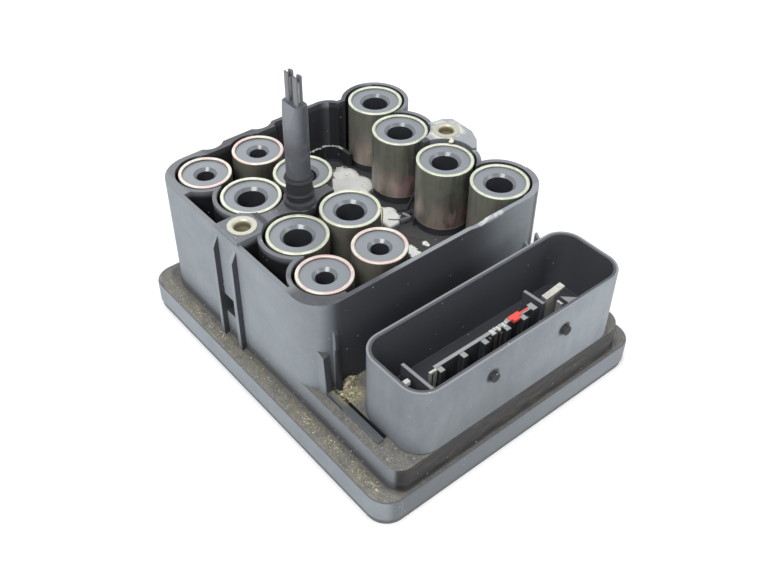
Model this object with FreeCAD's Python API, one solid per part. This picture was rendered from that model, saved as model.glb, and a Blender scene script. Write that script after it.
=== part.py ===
import FreeCAD, Part
import math
import os

os.makedirs("parts", exist_ok=True)

V = FreeCAD.Vector

# Frame: millimetres, Z up, origin at the centre of the base underside.
# X runs along the connector shroud, Y from the shroud to the coil box.

# Coils
R_LARGE = 10.0
R_SMALL = 8.93
BORE_LARGE = 4.6
BORE_SMALL = 2.95
CAN_WALL = 1.2
CAN_ROUND = 0.3
FOOT_H = 3.0
FOOT_INSET = 0.3
TOP_RECESS = 0.8
PLATE_T = 1.6
CORE_WALL = 1.2
BORE_CHAMFER = 1.0
WINDING_GAP = 0.25
PIN_R = 0.4
PIN_IN = 5.5
PIN_SIDE = 3.2

# Gaps and shifts that space the coils; rows mirror about ROW_Y
AISLE_HALF = 2.85
RIGHT_AISLE_HALF = 1.9
COLUMN_GAP = 0.8
ROW_GAP = 1.85
RIGHT_GAP = 1.54
SHIFT_OUTER = 4.8
SHIFT_INNER = 4.4
SHIFT_RIGHT = 5.6
BAY_W = 22.2
COIL_GAP = 1.0
CELL_SHIFT = 0.2

# Coil box
BOX_WALL = 1.5
LEFT_ROOM = 3.07
RIGHT_ROOM = 1.3
FRONT_ROOM = 1.2
BACK_ROOM = 0.8
BOX_FLOOR = 30.0
RIM_Z = 56.0
FLOOR_T = 3.5
BOX_R_BACK = 12.0
BOX_R_NEAR = 10.0
BOX_R_RIGHT = 12.0
BAY_R = 8.0
BAY_SIDE = 0.3
DIP = 4.0
GROOVE_R = 5.5
GROOVE_DEPTH = 1.9
GROOVE_SIDE = 0.9
STEP_Z = 37.0
STEP_W = 0.9
POCKET_WALL = 1.4
POCKET_FRONT = 2.0
POCKET_BACK = 6.4

# Base flange, cover and plateau
FLANGE_LEFT = 6.3
FLANGE_RIGHT = 6.8
FLANGE_FRONT = 1.6
FLANGE_BACK = 3.3
FLANGE_TOP = 11.0
FLANGE_ROUND = 1.4
FLANGE_WALL = 2.0
BASE_R = 7.5
COVER_T = 2.4
COVER_INSET = 0.5
PLAT_TOP = 20.8
PLAT_R_FRONT = 5.0
PLAT_R_RIGHT = 7.0
FOOT_ROUND = 1.3

# Connector shroud
SHR_IN_LEFT = 7.0
SHR_IN_RIGHT = 5.0
SHR_D = 28.0
ALLEY = 9.9
SHR_RIM = 47.3
SHR_WALL = 1.5
SHR_R = 8.0
SHR_FLOOR = 25.0
PEG_R = 1.6
PEG_OUT = 1.5
PEG_Z = 38.6
PEG_X1 = -14.2
PEG_X2 = 16.3

# Guide wall and cross walls in the shroud
COMB_IN = 8.0
COMB_T = 1.2
COMB_START = 12.6
COMB_L = 40.3
COMB_BELOW = 0.9
TOOTH_W = 1.8
TOOTH_OUT = 2.6
CROSS_T = 1.1
CROSS1_IN = 7.0
CROSS2_OUT = 3.1
CROSS_L = 13.7
CROSS2_L = 8.1

# Bosses, sleeves and the channel outside the left boss
BOSS_RISE = 1.0
BOSS_WALL = 1.65
BOSS_SIDE = 1.45
BOSS_INNER = 2.95
BOSS2_WALL = 2.35
SLEEVE_R = 4.75
SLEEVE_BORE = 2.75
SLEEVE_SINK = 0.5
SLEEVE_PROUD = 0.35
LEAD_IN = 0.5
HEAD_LEDGE = 0.75
RIB_OUT = 2.0
RIB_T = 1.8
RIB_BACK = 4.7
RIB_FRONT = 5.7
RIB_DROP = 2.5
RIB_SLOPE = 4.0

# Motor connector
STEM_R = 3.95
STEM_H = 37.0
PRONG_H = 9.4
PRONG_DY = 2.1
PRONG_W = 2.1
PRONG_D = 2.6
PRONG_ROUND = 0.65
TIP_GAP = 0.9
TIP_GAP_D = 0.8
FLAT_H = 9.0
FLAT_HALF = 2.2
FLAT_EDGE = 0.1
SEAL_T = 0.5
SEAL_H = 11.0
SEAL_SEAT = 0.35
LIP = 0.5
LIP_Z1 = 4.6
LIP_Z2 = 9.8
COLLAR_WALL = 0.85
COLLAR_H = 2.2
COLUMN_WALL = 0.65
WEB_T = 3.0
WEB_HALF = 5.3
WEB_PAST = 2.0
CONTACT_T = 0.6
CONTACT_W = 1.3
CONTACT_DROP = 2.0

# Board and what carries it
POST_H = 3.6
POST_R = 2.5
POST_IN = 10.4
BOARD_T = 1.6
BOARD_INSET = 5.0
BOARD_ROOM = 1.0
BOARD_R = 4.0
HOLLOW_WALL = 4.0

# How far one region reaches into its neighbour before they are fused
BITE = 0.5

# Rows worked out from the coils and their gaps
LARGE_DY = R_LARGE + AISLE_HALF
SMALL_DY = LARGE_DY + math.sqrt((R_LARGE + R_SMALL + ROW_GAP) ** 2 - SHIFT_OUTER ** 2)
RIGHT_DY1 = R_LARGE + RIGHT_AISLE_HALF
RIGHT_DY2 = RIGHT_DY1 + math.sqrt((2 * R_LARGE + RIGHT_GAP) ** 2 - SHIFT_RIGHT ** 2)
REACH = max(SMALL_DY + R_SMALL, RIGHT_DY2 + R_LARGE)
LEFT_SPAN = LEFT_ROOM + R_SMALL + SHIFT_OUTER + 2 * R_LARGE + COLUMN_GAP
RIGHT_SPAN = R_LARGE + SHIFT_RIGHT + R_LARGE + RIGHT_ROOM
BOX_W = BOX_WALL + LEFT_SPAN + R_LARGE + BAY_W + RIGHT_SPAN + BOX_WALL
BOX_D = BOX_WALL + FRONT_ROOM + 2 * REACH + BACK_ROOM + BOX_WALL
BASE_X = FLANGE_LEFT + BOX_W + FLANGE_RIGHT
BASE_Y = FLANGE_FRONT + SHR_D + ALLEY + BOX_D + FLANGE_BACK

# Places worked out from the sizes
HALF_X = BASE_X / 2
HALF_Y = BASE_Y / 2
PLAT_LEFT = -HALF_X + FLANGE_LEFT
PLAT_RIGHT = HALF_X - FLANGE_RIGHT
PLAT_FRONT = -HALF_Y + FLANGE_FRONT
PLAT_BACK = HALF_Y - FLANGE_BACK
BOX_FRONT = PLAT_BACK - BOX_D
ROW_Y = BOX_FRONT + BOX_WALL + FRONT_ROOM + REACH
SMALL_X1 = PLAT_LEFT + BOX_WALL + LEFT_ROOM + R_SMALL
LARGE_X1 = SMALL_X1 + SHIFT_OUTER
LARGE_X2 = LARGE_X1 + 2 * R_LARGE + COLUMN_GAP
SMALL_X2 = LARGE_X2 - SHIFT_INNER
RIGHT_X2 = PLAT_RIGHT - BOX_WALL - RIGHT_ROOM - R_LARGE
RIGHT_X1 = RIGHT_X2 - SHIFT_RIGHT
BAY_LEFT = LARGE_X2 + R_LARGE - COIL_GAP
BAY_RIGHT = RIGHT_X2 - R_LARGE - BAY_SIDE
CAN_BOTTOM = BOX_FLOOR + FOOT_H
COIL_TOP = RIM_Z - TOP_RECESS
BOSS_Z = RIM_Z + BOSS_RISE
BOSS1_X = PLAT_LEFT + BOSS_WALL + SLEEVE_R
BOSS1_Y = ROW_Y
BOSS2_X = PLAT_RIGHT - BOSS2_WALL - SLEEVE_R
SLEEVE_BOTTOM = BOX_FLOOR - SLEEVE_SINK
STEM_X = (LARGE_X1 + LARGE_X2) / 2
STEM_FOOT = RIM_Z
SHOULDER = STEM_FOOT + STEM_H
STEM_TOP = SHOULDER + PRONG_H
COLLAR_TOP = STEM_FOOT + COLLAR_H
SHR_LEFT = PLAT_LEFT + SHR_IN_LEFT
SHR_RIGHT = PLAT_RIGHT - SHR_IN_RIGHT
SHR_BACK = PLAT_FRONT + SHR_D
COMB_Y = PLAT_FRONT + COMB_IN
COMB_X0 = SHR_LEFT + COMB_START
COMB_X1 = COMB_X0 + COMB_L
COMB_TOP = SHR_RIM - COMB_BELOW
CROSS1_X = SHR_LEFT + CROSS1_IN
CROSS2_X = COMB_X1 + CROSS2_OUT
BOARD_Z = COVER_T + POST_H
BOARD_TOP = BOARD_Z + BOARD_T
HOLLOW_TOP = BOX_FLOOR - FLOOR_T

# Each entry: x, distance from ROW_Y, can radius, bore radius
ROWS = (
    (SMALL_X1, SMALL_DY, R_SMALL, BORE_SMALL),
    (SMALL_X2, SMALL_DY, R_SMALL, BORE_SMALL),
    (LARGE_X1, LARGE_DY, R_LARGE, BORE_LARGE),
    (LARGE_X2, LARGE_DY, R_LARGE, BORE_LARGE),
    (RIGHT_X1, RIGHT_DY1, R_LARGE, BORE_LARGE),
    (RIGHT_X2, RIGHT_DY2, R_LARGE, BORE_LARGE),
)


# Basic shapes

def box(x0, x1, y0, y1, z0, z1):
    return Part.makeBox(x1 - x0, y1 - y0, z1 - z0, V(x0, y0, z0))


def disc(x, y, r, z0, z1):
    return Part.makeCylinder(r, z1 - z0, V(x, y, z0))


def tube(x, y, ro, ri, z0, z1):
    return disc(x, y, ro, z0, z1).cut(disc(x, y, ri, z0, z1))


def cone(x, y, r0, r1, z0, z1):
    return Part.makeCone(r0, r1, z1 - z0, V(x, y, z0))


def rounded(x0, x1, y0, y1, radii, z0, z1):
    # radii run front right, back right, back left, front left
    corners = (
        (x1, y0, -90.0, radii[0]),
        (x1, y1, 0.0, radii[1]),
        (x0, y1, 90.0, radii[2]),
        (x0, y0, 180.0, radii[3]),
    )
    ends = []
    edges = []
    for cx, cy, start, r in corners:
        mx = cx + r if cx == x0 else cx - r
        my = cy + r if cy == y0 else cy - r
        pts = []
        for k in range(3):
            a = math.radians(start + 45.0 * k)
            pts.append(V(mx + r * math.cos(a), my + r * math.sin(a), z0))
        edges.append(Part.Arc(pts[0], pts[1], pts[2]).toShape())
        ends.append((pts[0], pts[2]))
    for i in range(4):
        a = ends[i][1]
        b = ends[(i + 1) % 4][0]
        if a.distanceToPoint(b) > 0.001:
            edges.append(Part.makeLine(a, b))
    wire = Part.Wire(Part.__sortEdges__(edges))
    return Part.Face(wire).extrude(V(0, 0, z1 - z0))


def extruded(points, direction):
    closed = list(points) + [points[0]]
    return Part.Face(Part.makePolygon(closed)).extrude(direction)


def prism(points, z0, z1):
    return extruded([V(x, y, z0) for x, y in points], V(0, 0, z1 - z0))


def side_prism(points, x0, x1):
    # points are (y, z) pairs, extruded along X
    return extruded([V(x0, y, z) for y, z in points], V(x1 - x0, 0, 0))


def front_prism(points, y0, y1):
    # points are (x, z) pairs, extruded along Y
    return extruded([V(x, y0, z) for x, z in points], V(0, y1 - y0, 0))


def fuse_all(shapes):
    return shapes[0].multiFuse(shapes[1:]).removeSplitter()


# Places of the coils, their pins and the terminals

def coil_list():
    out = []
    for x, dy, r, bore in ROWS:
        for side in (1, -1):
            out.append((x, ROW_Y + side * dy, r, bore))
    return out


def coil_cells(extra, z0, z1):
    # the coils sit a little in front of the middle of their cells
    return [disc(x, y + CELL_SHIFT, r + COIL_GAP + extra, z0, z1) for x, y, r, bore in coil_list()]


def pin_spots():
    # two pins under each coil, on the side that faces the middle of the box
    spots = []
    for x, y, r, bore in coil_list():
        inward = PIN_IN if x < 0 else -PIN_IN
        for side in (-1, 1):
            spots.append((x + inward, y + side * PIN_SIDE))
    return spots


def contact_slot(side, z0, z1):
    cy = ROW_Y + side * PRONG_DY
    w = CONTACT_W / 2
    t = CONTACT_T / 2
    return box(STEM_X - w, STEM_X + w, cy - t, cy + t, z0, z1)


def stub_posts(z0, cut):
    # broken terminal posts: x, front and back y, half width and height under the guide's top
    face = COMB_Y - COMB_T / 2
    posts = (
        (COMB_X0 + 21.1, face - 1.0, face, 0.4, 0.8),
        (COMB_X0 + 23.5, face - 1.0, face, 0.4, 0.2),
        (COMB_X0 + 25.6, face - 1.0, face, 0.4, 1.2),
        (COMB_X1 - 3.2, face - 1.0, face, 0.4, 2.0),
        (COMB_X1 - 2.4, COMB_Y - 5.8, COMB_Y - 5.0, 0.4, 1.2),
        (SHR_LEFT + 2.6, COMB_Y, COMB_Y + 1.2, 0.4, 0.2),
    )
    out = []
    for x, y0, y1, half, below in posts:
        top = SHR_FLOOR + BITE if cut else COMB_TOP - below
        out.append(box(x - half, x + half, y0, y1, z0, top))
    return out


def blade_left(z0, z1):
    x = COMB_X0 - 1.5
    y = COMB_Y - 1.2
    return box(x - 1.3, x + 1.3, y - 0.4, y + 0.4, z0, z1)


def blade_right(z0, z1):
    x = CROSS2_X + 3.9
    y = COMB_Y - 0.3
    return box(x - 1.8, x + 1.8, y - 0.4, y + 0.4, z0, z1)


def blade_front(z0, z1):
    x = CROSS2_X + 4.9
    y = COMB_Y - 3.6
    return box(x - 0.4, x + 0.4, y - 1.0, y + 1.0, z0, z1)


# Housing

def box_shape(inset, z0, z1):
    # plan outline of the coil box, moved inwards by the inset
    t = inset
    small = 0.4
    seam_x = RIGHT_X1 - R_LARGE
    front_y = ROW_Y - RIGHT_DY2
    back_y = ROW_Y + RIGHT_DY2
    main_radii = (small, BAY_R - t, BOX_R_BACK - t, BOX_R_NEAR - t)
    right_radii = (BOX_R_RIGHT - t, small, small, small)
    parts = [
        rounded(PLAT_LEFT + t, BAY_RIGHT - t, BOX_FRONT + t, PLAT_BACK - t, main_radii, z0, z1),
        rounded(seam_x, PLAT_RIGHT - t, BOX_FRONT + t, front_y, right_radii, z0, z1),
        box(seam_x, RIGHT_X2, front_y, back_y, z0, z1),
        box(seam_x, RIGHT_X2 - DIP, back_y, PLAT_BACK - DIP - t, z0, z1),
    ]
    for x, dy, r, bore in ROWS[4:]:
        for side in (1, -1):
            parts.append(disc(x, ROW_Y + side * dy + CELL_SHIFT, r + COIL_GAP + BOX_WALL - t, z0, z1))
    grooves = []
    groove_y = PLAT_BACK + GROOVE_R - GROOVE_DEPTH
    for x in ((SMALL_X1 + SMALL_X2) / 2, SMALL_X2 + R_SMALL + GROOVE_SIDE):
        grooves.append(disc(x, groove_y, GROOVE_R + t, z0, z1))
    return fuse_all(parts).cut(grooves)


def coil_cavity(z0, z1):
    small = 0.4
    bay_radii = (small, BAY_R - BOX_WALL, small, small)
    front = box(SMALL_X1, RIGHT_X2, BOX_FRONT, ROW_Y - LARGE_DY, z0, z1)
    middle = box(LARGE_X1, RIGHT_X1, ROW_Y - LARGE_DY - BITE, ROW_Y + LARGE_DY + BITE, z0, z1)
    back = box(SMALL_X1, RIGHT_X2, ROW_Y + LARGE_DY, ROW_Y + SMALL_DY + R_SMALL - BITE, z0, z1)
    bay = rounded(BAY_LEFT, BAY_RIGHT - BOX_WALL, ROW_Y, PLAT_BACK - BOX_WALL, bay_radii, z0, z1)
    cavity = fuse_all([front, middle, back, bay] + coil_cells(0.0, z0, z1))
    return cavity.common(box_shape(BOX_WALL, z0, z1))


def left_pockets(z0, z1):
    # deep pockets between the left wall and the scalloped wall round the coils
    y0 = ROW_Y - SMALL_DY + POCKET_FRONT
    y1 = ROW_Y + SMALL_DY - POCKET_BACK
    half = SLEEVE_R + BOSS_SIDE
    area = box(PLAT_LEFT + BOX_WALL, SMALL_X1, y0, y1, z0, z1)
    boss = box(PLAT_LEFT, LARGE_X1, BOSS1_Y - half, BOSS1_Y + half, z0, z1)
    return area.cut([boss] + coil_cells(POCKET_WALL, z0, z1))


def boss_right(z0, z1):
    # block on the right wall, round the sleeve and out to the coil cells beside it
    x = BOSS2_X
    y = ROW_Y
    out = SLEEVE_R + BOSS2_WALL - 0.3
    pts = (
        (x - 12.5, y + 2.2), (x - 1.5, y + 7.3), (x + 3.9, y + 6.3), (x + out, y + 4.1),
        (x + out, y - 5.9), (x + 4.3, y - 11.1), (x + 0.9, y - 14.7), (x - 12.5, y - 6.3),
    )
    return prism(pts, z0, z1)


def boss_left():
    half = SLEEVE_R + BOSS_SIDE
    x1 = BOSS1_X + SLEEVE_R + BOSS_INNER
    pad = box(PLAT_LEFT + BITE, x1, BOSS1_Y - half, BOSS1_Y + half, BOX_FLOOR - BITE, BOSS_Z)
    return pad.cut(coil_cells(0.0, BOX_FLOOR, BOSS_Z))


def web():
    # flat web between the left coils, from the boss past the stem
    z0 = RIM_Z - WEB_T
    strip = box(BOSS1_X, LARGE_X2 + WEB_PAST, ROW_Y - WEB_HALF, ROW_Y + WEB_HALF, z0, RIM_Z)
    return strip.cut(coil_cells(0.0, z0, RIM_Z))


def stem_support():
    column = disc(STEM_X, ROW_Y, STEM_R + COLUMN_WALL, BOX_FLOOR - BITE, RIM_Z)
    collar = disc(STEM_X, ROW_Y, STEM_R + SEAL_T + COLLAR_WALL, RIM_Z - COLLAR_H, COLLAR_TOP)
    return [column, collar]


def channel_ribs():
    # two ribs that guard the way down from the left boss
    out = []
    x0 = PLAT_LEFT - RIB_OUT
    top = BOSS_Z - RIB_DROP - BOSS_RISE
    profile = (
        (x0, FLANGE_TOP - BITE),
        (x0, top - RIB_SLOPE),
        (PLAT_LEFT, top),
        (PLAT_LEFT + BITE, top),
        (PLAT_LEFT + BITE, FLANGE_TOP - BITE),
    )
    for y0 in (BOSS1_Y + RIB_BACK, BOSS1_Y - RIB_FRONT):
        out.append(front_prism(profile, y0, y0 + RIB_T))
    return out


def corner_guides():
    # gusset, thin rib and rail beside the slot at the left, small fins at the right
    z0 = PLAT_TOP - BITE
    y = BOX_FRONT
    gusset = ((y - 1.3, z0), (y + 0.1, 36.4), (y + 5.1, 38.4), (y + 9.1, 38.4), (y + 9.1, z0))
    thin = ((y - 2.3, z0), (y - 0.5, 44.0), (y + 1.1, 46.5), (y + 1.1, z0))
    fin = ((y - 2.1, z0), (y - 1.1, 36.0), (y + 0.5, 37.6), (y + 1.1, z0))
    out = [
        side_prism(gusset, PLAT_LEFT + 2.9, PLAT_LEFT + 5.1),
        side_prism(thin, SHR_LEFT, SHR_LEFT + 1.2),
        box(PLAT_LEFT + 3.0, SHR_LEFT - 1.7, SHR_BACK - 15.6, y - 0.4, z0, PLAT_TOP + 1.2),
    ]
    for x in (SHR_RIGHT - 6.2, SHR_RIGHT - 0.7):
        out.append(side_prism(fin, x, x + 1.1))
    return out


def shroud_walls():
    radii = (SHR_R, SHR_R, SHR_R, SHR_R)
    outer = rounded(SHR_LEFT, SHR_RIGHT, PLAT_FRONT, SHR_BACK, radii, PLAT_TOP - BITE, SHR_RIM)
    return outer.cut(shroud_hollow())


def shroud_hollow():
    t = SHR_WALL
    q = SHR_R - t
    return rounded(SHR_LEFT + t, SHR_RIGHT - t, PLAT_FRONT + t, SHR_BACK - t, (q, q, q, q),
                   SHR_FLOOR, SHR_RIM + 1.0)


def cross_walls():
    # walls across the terminal room and a small corner web by the front wall
    y0 = PLAT_FRONT + SHR_WALL
    z0 = SHR_FLOOR - BITE
    half = CROSS_T / 2
    low = COMB_TOP - 0.6
    left = ((y0 - BITE, z0), (y0 - BITE, COMB_TOP), (y0 + CROSS_L, low), (y0 + CROSS_L, z0))
    start = y0 + 5.1
    right = ((start, z0), (start, COMB_TOP), (start + CROSS2_L, low), (start + CROSS2_L, z0))
    x = CROSS2_X + 6.1
    corner = ((x, y0 - BITE), (x + 5.0, y0 - BITE), (x, y0 + 4.1))
    return [
        side_prism(left, CROSS1_X - half, CROSS1_X + half),
        side_prism(right, CROSS2_X - half, CROSS2_X + half),
        prism(corner, COMB_TOP - CROSS_T, COMB_TOP),
    ]


def front_pegs():
    out = []
    for x in (PEG_X1, PEG_X2):
        out.append(Part.makeCylinder(PEG_R, PEG_OUT + BITE, V(x, PLAT_FRONT + BITE, PEG_Z), V(0, -1, 0)))
    return out


def inner_step():
    # the back wall of the open bay is thicker below mid height
    small = 0.4
    wall_y = PLAT_BACK - BOX_WALL
    wall_x = BAY_RIGHT - BOX_WALL
    y0 = ROW_Y + 2 * R_LARGE
    outer_radii = (small, BAY_R - BOX_WALL, small, small)
    inner_radii = (small, BAY_R - BOX_WALL - STEP_W, small, small)
    outer = rounded(BAY_LEFT, wall_x + BITE, y0, wall_y + BITE, outer_radii, BOX_FLOOR - BITE, STEP_Z)
    core = rounded(BAY_LEFT - 5.0, wall_x - STEP_W, y0 - 5.0, wall_y - STEP_W, inner_radii,
                   BOX_FLOOR - 1.0, STEP_Z + 1.0)
    side = box(wall_x - STEP_W - BITE, wall_x + 5.0, y0, ROW_Y + RIGHT_DY2, BOX_FLOOR - 1.0, STEP_Z + 1.0)
    return outer.cut([core, side] + coil_cells(0.0, BOX_FLOOR - 1.0, STEP_Z + 1.0))


def flange_and_plateau():
    r = BASE_R
    flange = rounded(-HALF_X, HALF_X, -HALF_Y, HALF_Y, (r, r, r, r), COVER_T, FLANGE_TOP)
    flange = flange.makeFillet(FLANGE_ROUND, edges_at(flange, FLANGE_TOP))
    b = BOX_R_BACK
    radii = (PLAT_R_RIGHT, b, b, PLAT_R_FRONT)
    plateau = rounded(PLAT_LEFT, PLAT_RIGHT, PLAT_FRONT, PLAT_BACK, radii, FLANGE_TOP - BITE, PLAT_TOP)
    body = flange.fuse(plateau).removeSplitter()
    reach = (PLAT_LEFT, PLAT_RIGHT, PLAT_FRONT, PLAT_BACK)
    foot = [e for e in edges_at(body, FLANGE_TOP) if inside(e.BoundBox, reach)]
    return body.makeFillet(FOOT_ROUND, foot)


def edges_at(shape, z):
    close = 0.01
    out = []
    for e in shape.Edges:
        if abs(e.BoundBox.ZMin - z) < close and abs(e.BoundBox.ZMax - z) < close:
            out.append(e)
    return out


def inside(bb, reach):
    x0, x1, y0, y1 = reach
    slack = 0.05
    in_x = bb.XMin > x0 - slack and bb.XMax < x1 + slack
    in_y = bb.YMin > y0 - slack and bb.YMax < y1 + slack
    return in_x and in_y


def make_housing():
    body = flange_and_plateau()
    z0 = PLAT_TOP - BITE
    body = body.fuse([box_shape(0.0, z0, RIM_Z), boss_right(z0, BOSS_Z), shroud_walls()]).removeSplitter()
    above = BOSS_Z + 1.0
    body = body.cut([coil_cavity(BOX_FLOOR, above), left_pockets(BOX_FLOOR, above), shroud_hollow()])
    adds = [boss_left(), web(), inner_step()]
    adds += stem_support() + channel_ribs() + corner_guides() + cross_walls() + front_pegs()
    body = body.fuse(adds).removeSplitter()
    return body.cut(housing_cuts()).removeSplitter()


def housing_cuts():
    cuts = under_hollows()
    head_z = PLAT_TOP + BITE
    for x, y in ((BOSS1_X, BOSS1_Y), (BOSS2_X, ROW_Y)):
        cuts.append(disc(x, y, SLEEVE_R, SLEEVE_BOTTOM, BOSS_Z + 1.0))
        cuts.append(disc(x, y, SLEEVE_R - HEAD_LEDGE, head_z, SLEEVE_BOTTOM + BITE))
    # window under the left boss, between the ribs
    rib_y0 = BOSS1_Y - RIB_FRONT + RIB_T
    cuts.append(box(PLAT_LEFT - 1.0, BOSS1_X, rib_y0, BOSS1_Y + RIB_BACK, head_z, SLEEVE_BOTTOM - BITE))
    # slot between the rail and the shroud
    cuts.append(box(SHR_LEFT - 1.7, SHR_LEFT, SHR_BACK - 15.0, BOX_FRONT - 0.1, PLAT_TOP - 5.2, PLAT_TOP + 3.0))
    # holes in the floors for pins, contacts and terminals
    for x, y in pin_spots():
        cuts.append(disc(x, y, PIN_R, HOLLOW_TOP - 1.0, BOX_FLOOR + BITE))
    for side in (-1, 1):
        cuts.append(contact_slot(side, HOLLOW_TOP - 1.0, COLLAR_TOP))
    under = BOARD_TOP
    cuts += stub_posts(under, True)
    for blade in (blade_left, blade_right, blade_front):
        cuts.append(blade(under, SHR_FLOOR + BITE))
    # seat of the stem and its seal inside the collar
    cuts.append(disc(STEM_X, ROW_Y, STEM_R + SEAL_T, STEM_FOOT, COLLAR_TOP + 1.0))
    # shallow worn nick in the front rim of the coil box
    nick_r = 14.0
    nick_z = RIM_Z + nick_r - 0.55
    cuts.append(Part.makeCylinder(nick_r, 4.0, V(15.6, BOX_FRONT - 1.0, nick_z), V(0, 1, 0)))
    return cuts


def under_hollows():
    # room for the board, and hollows under the coil box, the shroud and the alley between them
    m = BOARD_INSET - BOARD_ROOM
    q = BOARD_R
    w = HOLLOW_WALL
    radii = (q, q, q, q)
    z0 = COVER_T - 1.0
    return [
        rounded(-HALF_X + m, HALF_X - m, -HALF_Y + m, HALF_Y - m, radii, z0, FLANGE_TOP - FLANGE_WALL),
        rounded(PLAT_LEFT + w, RIGHT_X2, BOX_FRONT + w, ROW_Y + SMALL_DY + w, radii, z0, HOLLOW_TOP),
        rounded(SHR_LEFT + w, SHR_RIGHT - w, PLAT_FRONT + w, SHR_BACK - w, radii, z0, SHR_FLOOR - FLOOR_T),
        rounded(SHR_LEFT + w, SHR_RIGHT - w, SHR_BACK - 2 * w, BOX_FRONT + 2 * w, radii, z0, PLAT_TOP - FLOOR_T),
    ]


def make_cover():
    hx = HALF_X - COVER_INSET
    hy = HALF_Y - COVER_INSET
    r = BASE_R - COVER_INSET
    parts = [rounded(-hx, hx, -hy, hy, (r, r, r, r), 0.0, COVER_T)]
    px = HALF_X - POST_IN
    py = HALF_Y - POST_IN
    for x in (-px, px):
        for y in (-py, 0.0, py):
            parts.append(disc(x, y, POST_R, COVER_T - BITE, BOARD_Z))
    return fuse_all(parts)


def make_board():
    hx = HALF_X - BOARD_INSET
    hy = HALF_Y - BOARD_INSET
    q = BOARD_R
    return rounded(-hx, hx, -hy, hy, (q, q, q, q), BOARD_Z, BOARD_TOP)


# Coils

def make_can(x, y, r):
    shell = tube(x, y, r, r - CAN_WALL, CAN_BOTTOM, RIM_Z)
    return shell.makeFillet(CAN_ROUND, edges_at(shell, RIM_Z))


def make_bobbin(x, y, r, bore):
    inner = r - CAN_WALL
    body = fuse_all([
        disc(x, y, inner, COIL_TOP - PLATE_T, COIL_TOP),
        disc(x, y, bore + CORE_WALL, BOX_FLOOR, COIL_TOP),
        disc(x, y, inner, CAN_BOTTOM - BITE, CAN_BOTTOM + PLATE_T),
        disc(x, y, r - FOOT_INSET, BOX_FLOOR, CAN_BOTTOM),
    ])
    holes = [
        disc(x, y, bore, BOX_FLOOR - 1.0, COIL_TOP + 1.0),
        cone(x, y, bore, bore + BORE_CHAMFER, COIL_TOP - BORE_CHAMFER, COIL_TOP),
    ]
    return body.cut(holes)


def make_winding(x, y, r, bore):
    outer = r - CAN_WALL - WINDING_GAP
    return tube(x, y, outer, bore + CORE_WALL, CAN_BOTTOM + PLATE_T, COIL_TOP - PLATE_T)


def make_coil_pins():
    return Part.makeCompound([disc(x, y, PIN_R, BOARD_TOP, BOX_FLOOR) for x, y in pin_spots()])


# Motor connector

def make_stem():
    half = PRONG_W / 2
    deep = PRONG_D / 2
    seat_top = STEM_FOOT + SEAL_H
    body = disc(STEM_X, ROW_Y, STEM_R, seat_top, SHOULDER)
    body = body.fuse(disc(STEM_X, ROW_Y, STEM_R - SEAL_SEAT, STEM_FOOT, seat_top + BITE))
    # sloping flats narrow the stem towards the prongs
    wedges = []
    for s in (-1, 1):
        profile = (
            (STEM_X + s * FLAT_HALF, SHOULDER + BITE),
            (STEM_X + s * 2 * STEM_R, SHOULDER + BITE),
            (STEM_X + s * (STEM_R + FLAT_EDGE), SHOULDER - FLAT_H),
        )
        wedges.append(front_prism(profile, ROW_Y - 2 * STEM_R, ROW_Y + 2 * STEM_R))
    body = body.cut(wedges)
    prongs = []
    for s in (-1, 1):
        cy = ROW_Y + s * PRONG_DY
        prong = box(STEM_X - deep, STEM_X + deep, cy - half, cy + half, SHOULDER - 1.0, STEM_TOP)
        upright = [e for e in prong.Edges if e.BoundBox.ZLength > PRONG_H]
        prong = prong.makeFillet(PRONG_ROUND, upright)
        gap = box(STEM_X - TIP_GAP / 2, STEM_X + TIP_GAP / 2, cy - PRONG_W, cy + PRONG_W,
                  STEM_TOP - TIP_GAP_D, STEM_TOP + 1.0)
        prongs.append(prong.cut(gap))
    body = body.fuse(prongs).removeSplitter()
    # shafts of the contacts, and an open channel along the front of each prong
    cuts = []
    for s in (-1, 1):
        cy = ROW_Y + s * PRONG_DY
        w = CONTACT_W / 2
        cuts.append(contact_slot(s, STEM_FOOT - 1.0, STEM_TOP + 1.0))
        cuts.append(box(STEM_X - w, STEM_X + w, cy - PRONG_W, cy, SHOULDER + BITE, STEM_TOP + 1.0))
    return body.cut(cuts)


def make_stem_seal():
    ro = STEM_R + SEAL_T
    thin = ro - 0.15
    parts = [
        disc(STEM_X, ROW_Y, thin, STEM_FOOT, STEM_FOOT + SEAL_H),
        disc(STEM_X, ROW_Y, ro, STEM_FOOT, COLLAR_TOP),
    ]
    for lip in (LIP_Z1, LIP_Z2):
        z = STEM_FOOT + lip
        parts.append(cone(STEM_X, ROW_Y, thin, thin + LIP, z - 2 * LIP, z))
        parts.append(cone(STEM_X, ROW_Y, thin + LIP, thin, z, z + LIP))
    return fuse_all(parts).cut(disc(STEM_X, ROW_Y, STEM_R - SEAL_SEAT, STEM_FOOT - 1.0, STEM_FOOT + SEAL_H + 1.0))


def make_contact(side):
    return contact_slot(side, BOARD_TOP, STEM_TOP - CONTACT_DROP)


def make_sleeve(x, y):
    top = BOSS_Z + SLEEVE_PROUD
    body = tube(x, y, SLEEVE_R, SLEEVE_BORE, SLEEVE_BOTTOM, top)
    lead = cone(x, y, SLEEVE_BORE, SLEEVE_BORE + LEAD_IN, top - LEAD_IN, top)
    return body.cut(lead)


# Small pieces

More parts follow.
